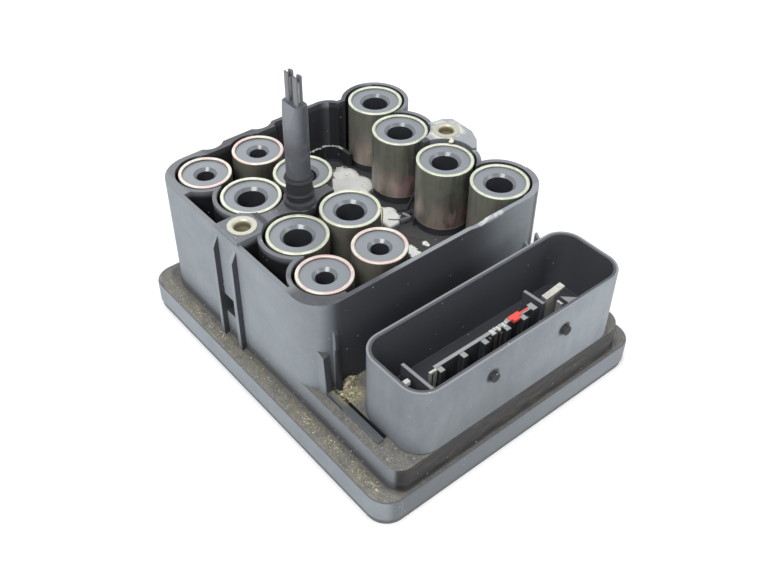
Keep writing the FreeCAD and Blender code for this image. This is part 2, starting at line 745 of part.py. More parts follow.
def make_bead():
    # white silicone bead with lobes, laid on the floor of the open bay
    cx = LARGE_X2 + R_LARGE + BAY_W / 2 + 3.3
    cy = ROW_Y + 1.2
    edge = (
        (-0.8, -29.7), (2.8, -25.5), (4.0, -19.0), (0.8, -12.9), (1.2, -8.5), (5.5, -4.7), (6.0, 0.9),
        (3.4, 6.0), (5.5, 11.5), (6.8, 17.7), (5.0, 24.1), (0.6, 29.7), (-4.6, 27.9), (-6.2, 20.5),
        (-4.4, 13.5), (-6.6, 6.5), (-5.2, -0.5), (-3.2, -6.5), (-5.4, -13.5), (-6.4, -20.5), (-4.8, -27.5),
    )
    height = 1.9
    curve = Part.BSplineCurve()
    curve.interpolate(Points=[V(cx + x, cy + y, BOX_FLOOR) for x, y in edge], PeriodicFlag=True)
    body = Part.Face(Part.Wire([curve.toShape()])).extrude(V(0, 0, height))
    return body.makeFillet(height / 2, edges_at(body, BOX_FLOOR + height))


def make_strips():
    # two bent contact strips on the floor beside the right coils
    x = RIGHT_X1
    y = ROW_Y
    z = BOX_FLOOR
    t = 0.6
    flat = prism(((x - 10.6, y + 3.3), (x - 11.0, y + 2.5), (x - 6.8, y - 0.6), (x - 6.2, y + 0.2)), z, z + t)
    rise = front_prism(((x - 6.9, z), (x - 6.1, z), (x - 0.7, z + 8.4), (x - 1.3, z + 8.8)), y - 0.5, y + 0.3)
    short = prism(((x - 12.0, y - 5.1), (x - 11.7, y - 6.1), (x - 8.0, y - 5.1), (x - 8.3, y - 4.1)), z, z + t)
    post = box(x - 9.0, x - 8.2, y - 5.2, y - 4.2, z, z + 3.2)
    return Part.makeCompound([fuse_all([flat, rise]), fuse_all([short, post])])


def make_guide():
    # thin wall with teeth that keeps the terminals apart
    z0 = SHR_FLOOR
    half = COMB_T / 2
    parts = [box(COMB_X0, COMB_X1, COMB_Y - half, COMB_Y + half, z0, COMB_TOP)]
    for along in (1.2, 10.1, 18.5, 27.5, 34.5):
        x = COMB_X0 + along
        parts.append(box(x - TOOTH_W / 2, x + TOOTH_W / 2, COMB_Y - TOOTH_OUT, COMB_Y, z0, COMB_TOP - 0.2))
    end = COMB_X1
    parts.append(box(end - 1.6, end + 0.4, COMB_Y - 1.5, COMB_Y + 1.4, z0, COMB_TOP))
    lump = end - 11.4
    parts.append(box(lump, lump + 5.0, COMB_Y - half, COMB_Y + 0.9, COMB_TOP - 2.0, COMB_TOP + 0.4))
    return fuse_all(parts)


def make_u_blade():
    top = COMB_TOP + 0.6
    blade = blade_left(BOARD_TOP, top)
    x = COMB_X0 - 1.5
    gap = box(x - 0.6, x + 0.6, COMB_Y - 3.0, COMB_Y + 1.0, top - 7.2, top - 0.8)
    return blade.cut(gap)


def make_bent_blade():
    top = COMB_TOP - 0.4
    x = CROSS2_X + 2.1
    y = COMB_Y - 0.7
    profile = (
        (x, top - 0.8), (x + 3.6, top - 0.8), (x + 8.2, top + 0.9), (x + 7.9, top + 1.3),
        (x + 3.2, top + 0.6), (x, top + 0.3),
    )
    return fuse_all([blade_right(BOARD_TOP, top), front_prism(profile, y, y + 2.2)])


def save(shape, node):
    shape.exportStep("parts/" + node + ".step")


save(make_housing(), "housing")
save(make_cover(), "base_cover")
save(make_board(), "circuit_board")
number = 0
for cx, cy, radius, bore in coil_list():
    number += 1
    tag = "%02d" % number
    save(make_can(cx, cy, radius), "coil_can_" + tag)
    save(make_bobbin(cx, cy, radius, bore), "coil_bobbin_" + tag)
    save(make_winding(cx, cy, radius, bore), "coil_winding_" + tag)
save(make_coil_pins(), "coil_pins")
save(make_stem(), "motor_stem")
save(make_stem_seal(), "stem_seal")
save(make_contact(1), "motor_contact_back")
save(make_contact(-1), "motor_contact_front")
save(make_sleeve(BOSS1_X, BOSS1_Y), "sleeve_left")
save(make_sleeve(BOSS2_X, ROW_Y), "sleeve_right")
save(make_bead(), "silicone_bead")
save(make_strips(), "contact_strips")
save(make_guide(), "terminal_guide")
save(make_u_blade(), "power_blade_left")
save(make_bent_blade(), "power_blade_right")
save(blade_front(BOARD_TOP, COMB_TOP - 0.8), "blade_front")
save(Part.makeCompound(stub_posts(BOARD_TOP, False)), "pin_stubs")
print("base %.3f x %.3f" % (BASE_X, BASE_Y))
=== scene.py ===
"""Looks of a brake control module with valve coils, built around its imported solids.

Lengths are millimetres, except those of the camera, lamps and floor, which are metres.
Colours are linear red, green and blue.
"""
import math
import bmesh
import bpy
import numpy as np
from mathutils import Matrix, Vector


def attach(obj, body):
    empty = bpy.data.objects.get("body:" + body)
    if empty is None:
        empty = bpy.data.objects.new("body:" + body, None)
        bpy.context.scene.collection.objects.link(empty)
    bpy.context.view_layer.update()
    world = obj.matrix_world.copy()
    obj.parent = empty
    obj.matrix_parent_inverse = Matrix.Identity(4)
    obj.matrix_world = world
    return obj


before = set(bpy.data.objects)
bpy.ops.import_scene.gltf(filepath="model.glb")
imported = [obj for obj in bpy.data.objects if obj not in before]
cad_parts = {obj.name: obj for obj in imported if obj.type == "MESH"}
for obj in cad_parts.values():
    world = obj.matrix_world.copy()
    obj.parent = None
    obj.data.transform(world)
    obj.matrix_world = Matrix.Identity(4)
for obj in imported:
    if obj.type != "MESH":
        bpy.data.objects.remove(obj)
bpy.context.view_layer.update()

MM = 0.001
SCENE = bpy.context.scene
ROW_Y = 18.3          # line through the stem and both bolt sleeves
FLANGE_TOP = 11.0
PLATEAU_TOP = 20.8
BOX_FLOOR = 30.0      # floor of the coil box
BACK_LEDGE = 37.0     # ledge at half height of the bay's back wall
CAN_FOOT = 33.0
RIM_Z = 56.0          # top of the coil box and of the cans
GUIDE_Y = -57.0       # middle line of the terminal guide in the shroud
GUIDE_TOP = 46.4
LARGE_COILS = ("05", "06", "07", "08", "09", "10", "11", "12")
SMALL_COILS = ("01", "02", "03", "04")

# Colours of the housing and of what lies on it; a band is a place on a scale of 0 to 1 and its colour
BLACK_PLASTIC = ((0.044, 0.046, 0.054), (0.058, 0.061, 0.070))
GREY_FILM_AND_SHEEN = (0.33, 0.365, 0.395)
SCUFFED_EDGE = (0.3, 0.31, 0.32)
SHROUD_INSIDE = (0.080, 0.083, 0.095)
SHADED_INNER_WALL = (0.010, 0.011, 0.014)
CORNER_FIN_SHADE = (0.03, 0.032, 0.038)
PEG_SEAT = (0.035, 0.037, 0.042)
PEG_HOLLOW_SHADE = (0.012, 0.012, 0.015)
POCKET_RIM_HIGHLIGHT = (0.25, 0.265, 0.28)
PALE_RIM_AND_HIGHLIGHT = (0.31, 0.33, 0.355)
CROSS_WALL_TOP = (0.28, 0.29, 0.305)
LEFT_BOSS = (0.33, 0.36, 0.385)
RIGHT_BOSS = (0.36, 0.38, 0.40)
CREAM_SMEAR = (0.72, 0.715, 0.66)
WORN_NICK = (0.66, 0.68, 0.70)
PALE_SPECK = (0.62, 0.62, 0.60)
RAIL_TOP = (0.105, 0.112, 0.12)
MOULD_SEAM = (0.33, 0.35, 0.36)
BAY_DUST = (0.115, 0.11, 0.105)
TAN_DUST = (0.27, 0.24, 0.17)
FOOT_DIRT_AND_SHADE = (0.042, 0.038, 0.033)
DUST_BANDS = ((0.28, (0.095, 0.092, 0.086)), (0.46, (0.190, 0.184, 0.168)), (0.6, (0.30, 0.288, 0.252)),
              (0.78, (0.54, 0.51, 0.42)))
GOLD_BANDS = ((0.3, (0.14, 0.125, 0.07)), (0.5, (0.36, 0.33, 0.16)), (0.7, (0.70, 0.66, 0.42)))
STREAK_AND_SHADE_BANDS = ((0.35, (0.003, 0.003, 0.004)), (0.52, (0.012, 0.010, 0.009)), (0.68, (0.045, 0.037, 0.030)))


# Finishes

class Finish:
    """A node material worked out from a point's place in millimetres and from the way its face looks."""

    def __init__(self, name):
        self.material = bpy.data.materials.new(name)
        self.material.use_nodes = True
        self.tree = self.material.node_tree
        self.tree.nodes.clear()
        output = self.add("ShaderNodeOutputMaterial")
        self.shader = self.add("ShaderNodeBsdfPrincipled")
        self.tree.links.new(self.shader.outputs[0], output.inputs["Surface"])
        place = self.add("ShaderNodeTexCoord")
        to_mm = self.add("ShaderNodeMapping")
        to_mm.inputs["Scale"].default_value = (1000.0, 1000.0, 1000.0)
        self.put(place.outputs["Object"], to_mm.inputs["Vector"])
        self.mm = to_mm.outputs[0]
        self.x, self.y, self.z = self.parts(self.mm)
        facing = self.add("ShaderNodeNewGeometry")
        self.normal = facing.outputs["Normal"]
        self.nx, self.ny, self.nz = self.parts(self.normal)

    def add(self, kind):
        return self.tree.nodes.new(kind)

    def put(self, value, socket):
        """Another node's output is linked; a number is set, and so is a colour, given as three numbers."""
        if isinstance(value, bpy.types.NodeSocket):
            self.tree.links.new(value, socket)
        elif isinstance(value, tuple):
            socket.default_value = (*value, 1.0)
        else:
            socket.default_value = value

    def parts(self, vector):
        """The three numbers of a vector or a colour."""
        split = self.add("ShaderNodeSeparateXYZ")
        self.put(vector, split.inputs[0])
        return split.outputs[0], split.outputs[1], split.outputs[2]

    def math(self, what, a, b=0.0, clamp=False):
        node = self.add("ShaderNodeMath")
        node.operation = what
        node.use_clamp = clamp
        self.put(a, node.inputs[0])
        self.put(b, node.inputs[1])
        return node.outputs[0]

    def chain(self, what, values):
        """The first two values joined by the operation, the result joined to the third, and so on."""
        out = values[0]
        for value in values[1:]:
            out = self.math(what, out, value)
        return out

    def times(self, *values):
        return self.chain("MULTIPLY", values)

    def most(self, *values):
        return self.chain("MAXIMUM", values)

    def less(self, value):
        """What is left of 1."""
        return self.math("SUBTRACT", 1.0, value, clamp=True)

    def rise(self, value, low, high):
        """0 below low, 1 above high and a smooth rise between them; a fall where low is the greater."""
        node = self.add("ShaderNodeMapRange")
        node.interpolation_type = "SMOOTHSTEP"
        self.put(value, node.inputs["Value"])
        falls = low > high
        node.inputs["From Min"].default_value = min(low, high)
        node.inputs["From Max"].default_value = max(low, high)
        node.inputs["To Min"].default_value = 1.0 if falls else 0.0
        node.inputs["To Max"].default_value = 0.0 if falls else 1.0
        return node.outputs["Result"]

    def scale(self, value, low, high):
        """A straight line from low, where the value is 0, to high, where it is 1."""
        node = self.add("ShaderNodeMapRange")
        self.put(value, node.inputs["Value"])
        node.inputs["To Min"].default_value = low
        node.inputs["To Max"].default_value = high
        return node.outputs["Result"]

    def between(self, value, low, high, soft=0.5):
        """1 from low to high, fading over the soft width on both sides of each."""
        start = self.rise(value, low - soft, low + soft)
        return self.times(start, self.rise(value, high + soft, high - soft))

    def patch(self, x0, x1, y0, y1, z0, z1, soft):
        """1 inside a box, fading over the soft width."""
        return self.times(self.between(self.x, x0, x1, soft), self.between(self.y, y0, y1, soft),
                          self.between(self.z, z0, z1, soft))

    def length(self, u, v):
        """The root of the sum of both squares."""
        return self.math("SQRT", self.math("ADD", self.times(u, u), self.times(v, v)))

    def away(self, u, v, centre_u, centre_v):
        """Distance of the point (u, v) from a centre: the length of both offsets."""
        return self.length(self.math("SUBTRACT", u, centre_u), self.math("SUBTRACT", v, centre_v))

    def past_box(self, cx, cy, half_x, half_y):
        """Distance in plan from a rectangle: the length of what both offsets have over the half sizes."""
        over = []
        for value, centre, half in ((self.x, cx, half_x), (self.y, cy, half_y)):
            offset = self.math("ABSOLUTE", self.math("SUBTRACT", value, centre))
            over.append(self.math("MAXIMUM", self.math("SUBTRACT", offset, half), 0.0))
        return self.length(*over)

    def moved(self, stretch=(1, 1, 1), shift=(0, 0, 0)):
        """The place, stretched and shifted for a pattern of its own."""
        node = self.add("ShaderNodeMapping")
        node.inputs["Scale"].default_value = stretch
        node.inputs["Location"].default_value = shift
        self.put(self.mm, node.inputs["Vector"])
        return node.outputs[0]

    def noise(self, per_mm, detail=3.0, roughness=0.55, stretch=(1, 1, 1), shift=(0, 0, 0)):
        """Cloudy values round 0.5, with so many clouds to the millimetre."""
        node = self.add("ShaderNodeTexNoise")
        self.put(self.moved(stretch, shift), node.inputs["Vector"])
        node.inputs["Scale"].default_value = per_mm
        node.inputs["Detail"].default_value = detail
        node.inputs["Roughness"].default_value = roughness
        return node.outputs["Fac"]

    def specks(self, per_mm, size, share):
        """Small round specks: only the given share of the scattered points shows one."""
        points = self.add("ShaderNodeTexVoronoi")
        self.put(self.moved(), points.inputs["Vector"])
        points.inputs["Scale"].default_value = per_mm
        points.inputs["Randomness"].default_value = 1.0
        chance = self.parts(points.outputs["Color"])[0]
        return self.times(self.rise(points.outputs["Distance"], size, size * 0.5),
                          self.rise(chance, 1.0 - share, 1.001 - share))

    def ramp(self, value, *bands):
        """A colour for each value, running from band to band."""
        node = self.add("ShaderNodeValToRGB")
        elements = node.color_ramp.elements
        while len(elements) < len(bands):
            elements.new(0.5)
        for element, (at, colour) in zip(elements, bands):
            element.position = at
            element.color = (*colour, 1.0)
        self.put(value, node.inputs[0])
        return node.outputs[0]

    def mix(self, amount, a, b):
        """Colour a where the amount is 0, and b where it is 1."""
        node = self.add("ShaderNodeMix")
        node.data_type = "RGBA"
        node.clamp_factor = True
        self.put(amount, node.inputs[0])
        self.put(a, node.inputs[6])
        self.put(b, node.inputs[7])
        return node.outputs[2]

    def rounded(self, width):
        """The normal that the face has once its edges are rounded by the width."""
        node = self.add("ShaderNodeBevel")
        node.samples = 4
        node.inputs["Radius"].default_value = width * MM
        return node.outputs[0]

    def edges(self, width):
        """1 along sharp edges: how far the normal of a rounded edge turns from the face's own."""
        dot = self.add("ShaderNodeVectorMath")
        dot.operation = "DOT_PRODUCT"
        self.put(self.rounded(width), dot.inputs[0])
        self.put(self.normal, dot.inputs[1])
        return self.rise(dot.outputs["Value"], 0.999, 0.93)

    def finish(self, colour, roughness, metallic=0.0, relief=None, relief_mm=0.05, strength=0.5, edge_mm=0.0,
               **sockets):
        """Fills the shader's sockets, with the relief as a bump on rounded edges, and gives the material."""
        self.put(colour, self.shader.inputs["Base Color"])
        self.put(roughness, self.shader.inputs["Roughness"])
        self.put(metallic, self.shader.inputs["Metallic"])
        for name, value in sockets.items():
            self.put(value, self.shader.inputs[name.replace("_", " ")])
        normal = self.rounded(edge_mm) if edge_mm else None
        if relief is not None:
            bump = self.add("ShaderNodeBump")
            bump.inputs["Strength"].default_value = strength
            bump.inputs["Distance"].default_value = relief_mm * MM
            self.put(relief, bump.inputs["Height"])
            if normal is not None:
                self.put(normal, bump.inputs["Normal"])
            normal = bump.outputs[0]
        if normal is not None:
            self.put(normal, self.shader.inputs["Normal"])
        return self.material


class HousingFinish(Finish):
    """The housing's plastic, with the patterns, facings and plan distances that its steps share."""

    def __init__(self):
        super().__init__("moulded_black_plastic")
        self.blotch = self.noise(0.5, 4.0, 0.6, shift=(7, 3, 1))
        self.grain = self.noise(2.4, 3.0, 0.6, shift=(3, 9, 4))
        self.up = self.rise(self.nz, 0.55, 0.9)
        self.side = self.rise(self.math("ABSOLUTE", self.nz), 0.75, 0.35)
        self.to_left = self.rise(self.nx, -0.05, -0.75)
        self.to_right = self.rise(self.nx, 0.3, 0.8)
        self.to_back = self.rise(self.ny, 0.3, 0.8)
        self.to_front = self.rise(self.ny, -0.3, -0.8)
        # 9.3 past this rectangle, which runs on beyond the right side, is the coil box's left, front or back
        self.outside_box = self.rise(self.past_box(20.0, 17.1, 60.1, 34.2), 9.0, 9.4)
        # 8 past this one is the shroud's outer face, and 6.5 its inner one
        self.shroud_plan = self.past_box(0.75, -51.0, 35.85, 6.0)
        self.boss_plan = self.away(self.x, self.y, 42.5, ROW_Y)


def housing_finish():
    """Black moulded plastic: a grey dust coat with painted sheen on the outer faces, dust on the ledges, pale
    rims with painted highlights, painted shade and a painted highlight on inner walls, and a worn nick.
    """
    f = HousingFinish()
    base = f.mix(f.noise(7.0, 2.0, 0.5), *BLACK_PLASTIC)
    # Grey coat on the outer faces: dust, and painted sheen of the white surroundings.
    film_and_sheen = f.times(outer_film_and_sheen(f), f.scale(f.noise(0.09, 5.0, 0.6), 0.72, 1.2), f.scale(f.blotch, 0.88, 1.1))
    base = f.mix(film_and_sheen, base, GREY_FILM_AND_SHEEN)
    scuffs = f.times(f.edges(0.5), 0.4, f.rise(f.z, 9.0, 12.0), f.scale(f.blotch, 0.2, 1.0))
    base = f.mix(scuffs, base, SCUFFED_EDGE)
    base = rims_and_bosses(f, base)
    base, inner_wall_shade = dark_places(f, base)
    # Painted highlight: a pale band at the top of the inner walls in the box's left corner, fading downwards.
    pocket_highlight = f.times(f.side, f.rise(f.z, 53.6, 55.6), f.rise(f.x, -31.0, -35.0), f.less(f.outside_box),
                     f.most(f.to_left, f.to_front))
    base = f.mix(f.times(pocket_highlight, 0.7), base, POCKET_RIM_HIGHLIGHT)
    base, dust = ledge_dust(f, base)
    bare = f.scale(film_and_sheen, 0.85, 0.0)
    base = f.mix(f.times(f.specks(0.5, 0.14, 0.18), bare), base, PALE_SPECK)
    nick = f.times(f.patch(15.5, 26.0, -28.2, -25.2, 55.2, 56.4, 0.7),
                   f.rise(f.noise(0.7, 3.0, 0.6), 0.25, 0.6))
    base = f.mix(f.times(nick, 0.9), base, WORN_NICK)
    gritty = f.times(dust, f.noise(1.9, 4.0, 0.7, shift=(1, 5, 8)), 2.4)
    bumps = f.math("ADD", f.times(f.grain, 0.5), gritty)
    rough = f.scale(f.most(dust, f.times(film_and_sheen, 0.6), inner_wall_shade), 0.48, 0.85)
    return f.finish(base, rough, relief=bumps, relief_mm=0.12, edge_mm=0.3, Specular_IOR_Level=0.36)


def outer_film_and_sheen(f):
    """How much grey coat, part dust and part painted sheen, lies on each outer face; each facing gets its own
    amount, set to how the light falls on it.
    """
    # On the left wall the coat thins towards the foot, as painted shade, and towards the front corner.
    left = f.times(f.outside_box, f.to_left, f.rise(f.y, -28.5, -27.0),
                   f.scale(f.rise(f.z, 12.0, 23.0), 0.42, 0.92), f.scale(f.rise(f.y, -27.0, 0.0), 0.76, 1.0),
                   f.rise(f.z, 11.6, 12.6))
    low_left = f.times(f.to_left, f.rise(f.x, -48.5, -49.5), f.between(f.z, 12.2, 21.0),
                       f.scale(f.rise(f.z, 13.0, 20.0), 0.3, 0.6))
    right = f.times(f.to_right, f.rise(f.x, 40.0, 44.0), f.rise(f.z, 20.0, 22.0), 0.85)
    back = f.times(f.to_back, f.rise(f.y, 56.0, 59.0), 0.8)
    along = f.rise(f.x, 1.0, 37.0)
    front = f.times(f.to_front, f.rise(f.y, -26.3, -26.9), f.rise(f.y, -30.0, -29.0), f.rise(f.z, 21.0, 22.0),
                    along, along, 0.85)
    streaks = f.noise(0.22, 4.0, 0.6, stretch=(1, 1, 0.35), shift=(8, 1, 6))
    # On the shroud the coat thins towards its foot: a painted shadow gradient.
    shroud = f.times(f.rise(f.shroud_plan, 7.5, 7.9), f.side, f.rise(f.y, -35.5, -36.5), f.less(f.to_back),
                     f.scale(f.rise(f.x, -14.0, 32.0), 0.58, 1.0),
                     f.scale(f.rise(f.z, PLATEAU_TOP, 32.0), 0.72, 1.0),
                     f.rise(f.z, PLATEAU_TOP, 21.4), f.scale(streaks, 0.72, 1.26))
    skirt_left = f.times(f.to_left, f.scale(f.rise(f.y, -25.0, 45.0), 0.80, 1.0))
    skirt_front = f.scale(f.rise(f.x, -46.0, 44.0), 0.36, 0.66)
    skirt_back = f.times(f.to_back, 0.75)
    skirt = f.times(f.side, f.rise(f.z, 12.0, 11.2), f.most(skirt_left, skirt_front, skirt_back))
    return f.most(left, low_left, right, back, front, shroud, skirt)


def rims_and_bosses(f, base):
    """Pale rims with painted highlights, brightest on the left and at the front's right, and the bosses' tops
    with cream smears.
    """
    # The rims' paleness is partly painted highlight: it grows along the front and towards the left, and is
    # lighter on the shroud rim's outer edge.
    left_edge = f.times(f.rise(f.x, -44.0, -47.5), f.rise(f.y, -18.0, -12.0), 0.62)
    left_inside = f.times(f.rise(f.x, -28.0, -33.0), f.rise(f.y, -12.0, -6.0), 0.42)
    front = f.times(f.rise(f.x, -30.0, -10.0), f.rise(f.y, -20.0, -23.5), 0.85)
    right = f.times(f.rise(f.x, 36.0, 43.0), 0.6)
    pale = f.most(left_edge, left_inside, front, right, f.scale(f.blotch, 0.0, 0.22))
    box_rim = f.times(f.up, f.between(f.z, RIM_Z - 0.6, RIM_Z + 0.4, 0.15), pale)
    shroud_rim = f.times(f.up, f.between(f.z, 46.6, 47.6, 0.1), f.rise(f.y, -35.0, -36.0),
                         f.scale(f.rise(f.shroud_plan, 7.1, 7.5), 0.12, 0.85),
                         f.rise(f.shroud_plan, 6.3, 6.5))
    base = f.mix(f.most(box_rim, shroud_rim), base, PALE_RIM_AND_HIGHLIGHT)
    cross_walls = f.times(f.up, f.between(f.z, 45.0, 46.6, 0.1), f.rise(f.shroud_plan, 6.4, 6.2))
    base = f.mix(f.times(cross_walls, 0.8), base, CROSS_WALL_TOP)
    left_boss = f.times(f.up, f.patch(-50.5, -38.0, 12.0, 24.6, 56.2, 58.0, 0.3))
    base = f.mix(f.times(left_boss, f.scale(f.blotch, 0.2, 0.55)), base, LEFT_BOSS)
    right_boss = f.patch(34.0, 51.0, 3.0, 27.0, 51.0, 58.0, 0.4)
    base = f.mix(f.times(right_boss, f.scale(f.blotch, 0.8, 1.0), f.scale(f.up, 0.4, 1.0)), base, RIGHT_BOSS)
    blots = f.rise(f.noise(0.42, 2.0, 0.5, shift=(2, 8, 5)), 0.36, 0.56)
    smear = f.times(right_boss, f.up, f.rise(f.boss_plan, 7.8, 4.8), blots)
    return f.mix(f.times(smear, 0.85), base, CREAM_SMEAR)


def dark_places(f, base):
    """Inner walls of the shroud, painted shade on the coil box's inner walls and on a fin at the box's front
    corner, and darker rings round the two pegs, with painted shade of a hollow at their ends.
    """
    in_shroud = f.times(f.rise(f.shroud_plan, 7.0, 6.4), f.side, f.rise(f.z, 20.9, 21.3),
                        f.rise(f.y, -36.0, -37.0))
    base = f.mix(f.times(in_shroud, f.scale(f.blotch, 0.6, 1.0)), base, SHROUD_INSIDE)
    bay_back = f.times(f.rise(f.ny, 0.0, -0.3), f.rise(f.y, 50.0, 52.0))
    inner_wall = f.most(f.less(f.outside_box), bay_back)
    # Painted shade: the coil box's inner walls and the bay's back wall go near-black below the rim.
    inner_wall_shade = f.times(f.rise(f.z, 55.0, 53.0), f.scale(f.rise(f.x, -28.0, -32.0), 0.8, 1.0), inner_wall,
                     f.side, f.rise(f.z, 31.0, 32.0), f.rise(f.x, 28.0, 26.0))
    base = f.mix(inner_wall_shade, base, SHADED_INNER_WALL)
    # Painted shade on the fin by the box's front corner, in the alley beside the shroud.
    fin = f.times(f.side, f.patch(-45.5, -38.5, -31.5, -27.4, 21.4, 38.0, 0.3))
    base = f.mix(f.times(fin, 0.85), base, CORNER_FIN_SHADE)
    pegs = f.math("MINIMUM", f.away(f.x, f.z, -14.2, 38.6), f.away(f.x, f.z, 16.3, 38.6))
    seats = f.times(f.rise(f.y, -64.7, -64.95), f.rise(pegs, 3.0, 1.8), f.rise(f.blotch, 0.15, 0.4))
    base = f.mix(seats, base, PEG_SEAT)
    # Painted shade of a hollow: a dark disc on each peg's end.
    ends = f.times(f.rise(f.y, -65.1, -65.3), f.rise(pegs, 1.3, 0.9))
    return f.mix(ends, base, PEG_HOLLOW_SHADE), inner_wall_shade


def ledge_dust(f, base):
    """Dust in the bay, brown dust on the flange and plateau, gold beside the shroud, dirt and painted shade
    at the walls' feet, and streaks of dirt with painted shade on the front step.
    """
    in_bay = f.times(f.up, f.between(f.z, BOX_FLOOR - 0.5, BACK_LEDGE + 0.4, 0.2),
                     f.scale(f.blotch, 0.1, 0.9), f.scale(f.rise(f.y, 16.0, 4.0), 0.3, 1.0))
    base = f.mix(in_bay, base, BAY_DUST)

    ledge = f.times(f.up, f.rise(f.z, 13.5, 12.5), f.rise(f.z, 9.0, 10.4))
    round_channel = f.rise(f.past_box(-47.5, ROW_Y, 3.0, 5.6), 0.3, 0.6)
    plateau = f.times(f.up, f.between(f.z, 20.0, 21.4, 0.3), round_channel)
    left_ledge = f.rise(f.x, -46.0, -51.0)
    clumps = f.rise(f.noise(0.35, 5.0, 0.65, shift=(11, 2, 0)), 0.3, 0.6)
    amount = f.most(f.times(ledge, left_ledge, 0.96), f.times(ledge, 0.62), f.times(plateau, 0.8))
    dust = f.ramp(f.noise(2.3, 4.0, 0.75, shift=(1, 5, 8)), *DUST_BANDS)
    base = f.mix(f.times(amount, f.scale(clumps, 0.62, 1.0)), base, dust)
    tan = f.times(ledge, left_ledge, f.rise(f.noise(0.16, 3.0, 0.6, shift=(5, 5, 0)), 0.46, 0.62))
    base = f.mix(f.times(tan, 0.3), base, TAN_DUST)

    rail = f.times(f.up, f.patch(-47.6, -44.3, -53.0, -28.6, 21.7, 22.3, 0.2))
    base = f.mix(rail, base, RAIL_TOP)
    corner = f.times(f.patch(-45.5, -37.5, -35.5, -27.0, 19.5, 23.0, 2.0), f.rise(f.grain, 0.34, 0.5))
    gold = f.ramp(f.noise(2.6, 3.0, 0.7, shift=(4, 4, 4)), *GOLD_BANDS)
    golden = f.times(corner, f.up)
    base = f.mix(golden, base, gold)

    # A dark brown band at the feet of the box and the plateau: dirt, and painted shade of the concave corner.
    foot = f.rise(f.past_box(-0.25, -0.85, 44.0, 58.0), 8.2, 7.0)
    foot_dirt_and_shade = f.times(f.between(f.z, 10.6, 14.6, 1.2), f.scale(f.noise(0.3, 3.0, 0.6), 0.5, 1.1), foot)
    base = f.mix(f.times(foot_dirt_and_shade, 0.6), base, FOOT_DIRT_AND_SHADE)
    # On the plateau's front step, streaks of dirt darker than the plastic's own black: partly painted shade.
    front_step = f.times(f.to_front, f.between(f.z, 11.0, 20.9, 0.4), f.rise(f.y, -62.0, -64.0))
    streaks = f.noise(0.3, 4.0, 0.6, stretch=(0.5, 1, 2.2), shift=(3, 3, 3))
    base = f.mix(front_step, base, f.ramp(streaks, *STREAK_AND_SHADE_BANDS))
    seam = f.times(f.between(f.x, -49.3, -49.1, 0.1), f.rise(f.y, -62.0, -64.0),
                   f.between(f.z, 3.0, 9.8, 0.4))
    base = f.mix(f.times(seam, 0.6), base, MOULD_SEAM)
    return base, f.most(amount, golden)


def guide_finish():
    """The same black plastic with light, scuffed tops."""
    f = Finish("guide_black_plastic")
    blotch = f.noise(0.7, 4.0, 0.6)
    top = f.times(f.rise(f.nz, 0.5, 0.9), f.rise(f.z, 44.0, 45.0))
    base = f.mix(blotch, (0.026, 0.027, 0.031), (0.040, 0.042, 0.047))
    base = f.mix(f.times(top, f.scale(blotch, 0.75, 1.0)), base, (0.33, 0.34, 0.35))
    base = f.mix(f.times(f.edges(0.35), 0.4), base, (0.2, 0.21, 0.22))
    rough = f.scale(blotch, 0.35, 0.6)
    return f.finish(base, rough, relief=f.noise(2.5), relief_mm=0.06, strength=0.4, edge_mm=0.15)


def cover_finish():
    """Dull plastic cover under the base, with pale specks."""
    f = Finish("base_cover_plastic")
    blotch = f.noise(0.4, 5.0, 0.65)
    base = f.mix(blotch, (0.075, 0.078, 0.082), (0.17, 0.175, 0.18))
    base = f.mix(f.times(f.specks(0.6, 0.12, 0.15), 0.7), base, (0.3, 0.29, 0.26))
    return f.finish(base, f.scale(blotch, 0.5, 0.75), relief=f.noise(3.0), relief_mm=0.08, edge_mm=0.3)


def board_finish():
    """Green solder mask with faint copper lines under it."""
    f = Finish("board_solder_mask")
    lines = f.noise(0.5, 2.0, 0.5, stretch=(1, 0.15, 1))
    base = f.mix(f.rise(lines, 0.48, 0.52), (0.015, 0.07, 0.03), (0.03, 0.12, 0.05))
    return f.finish(base, f.scale(lines, 0.3, 0.45), relief=lines)


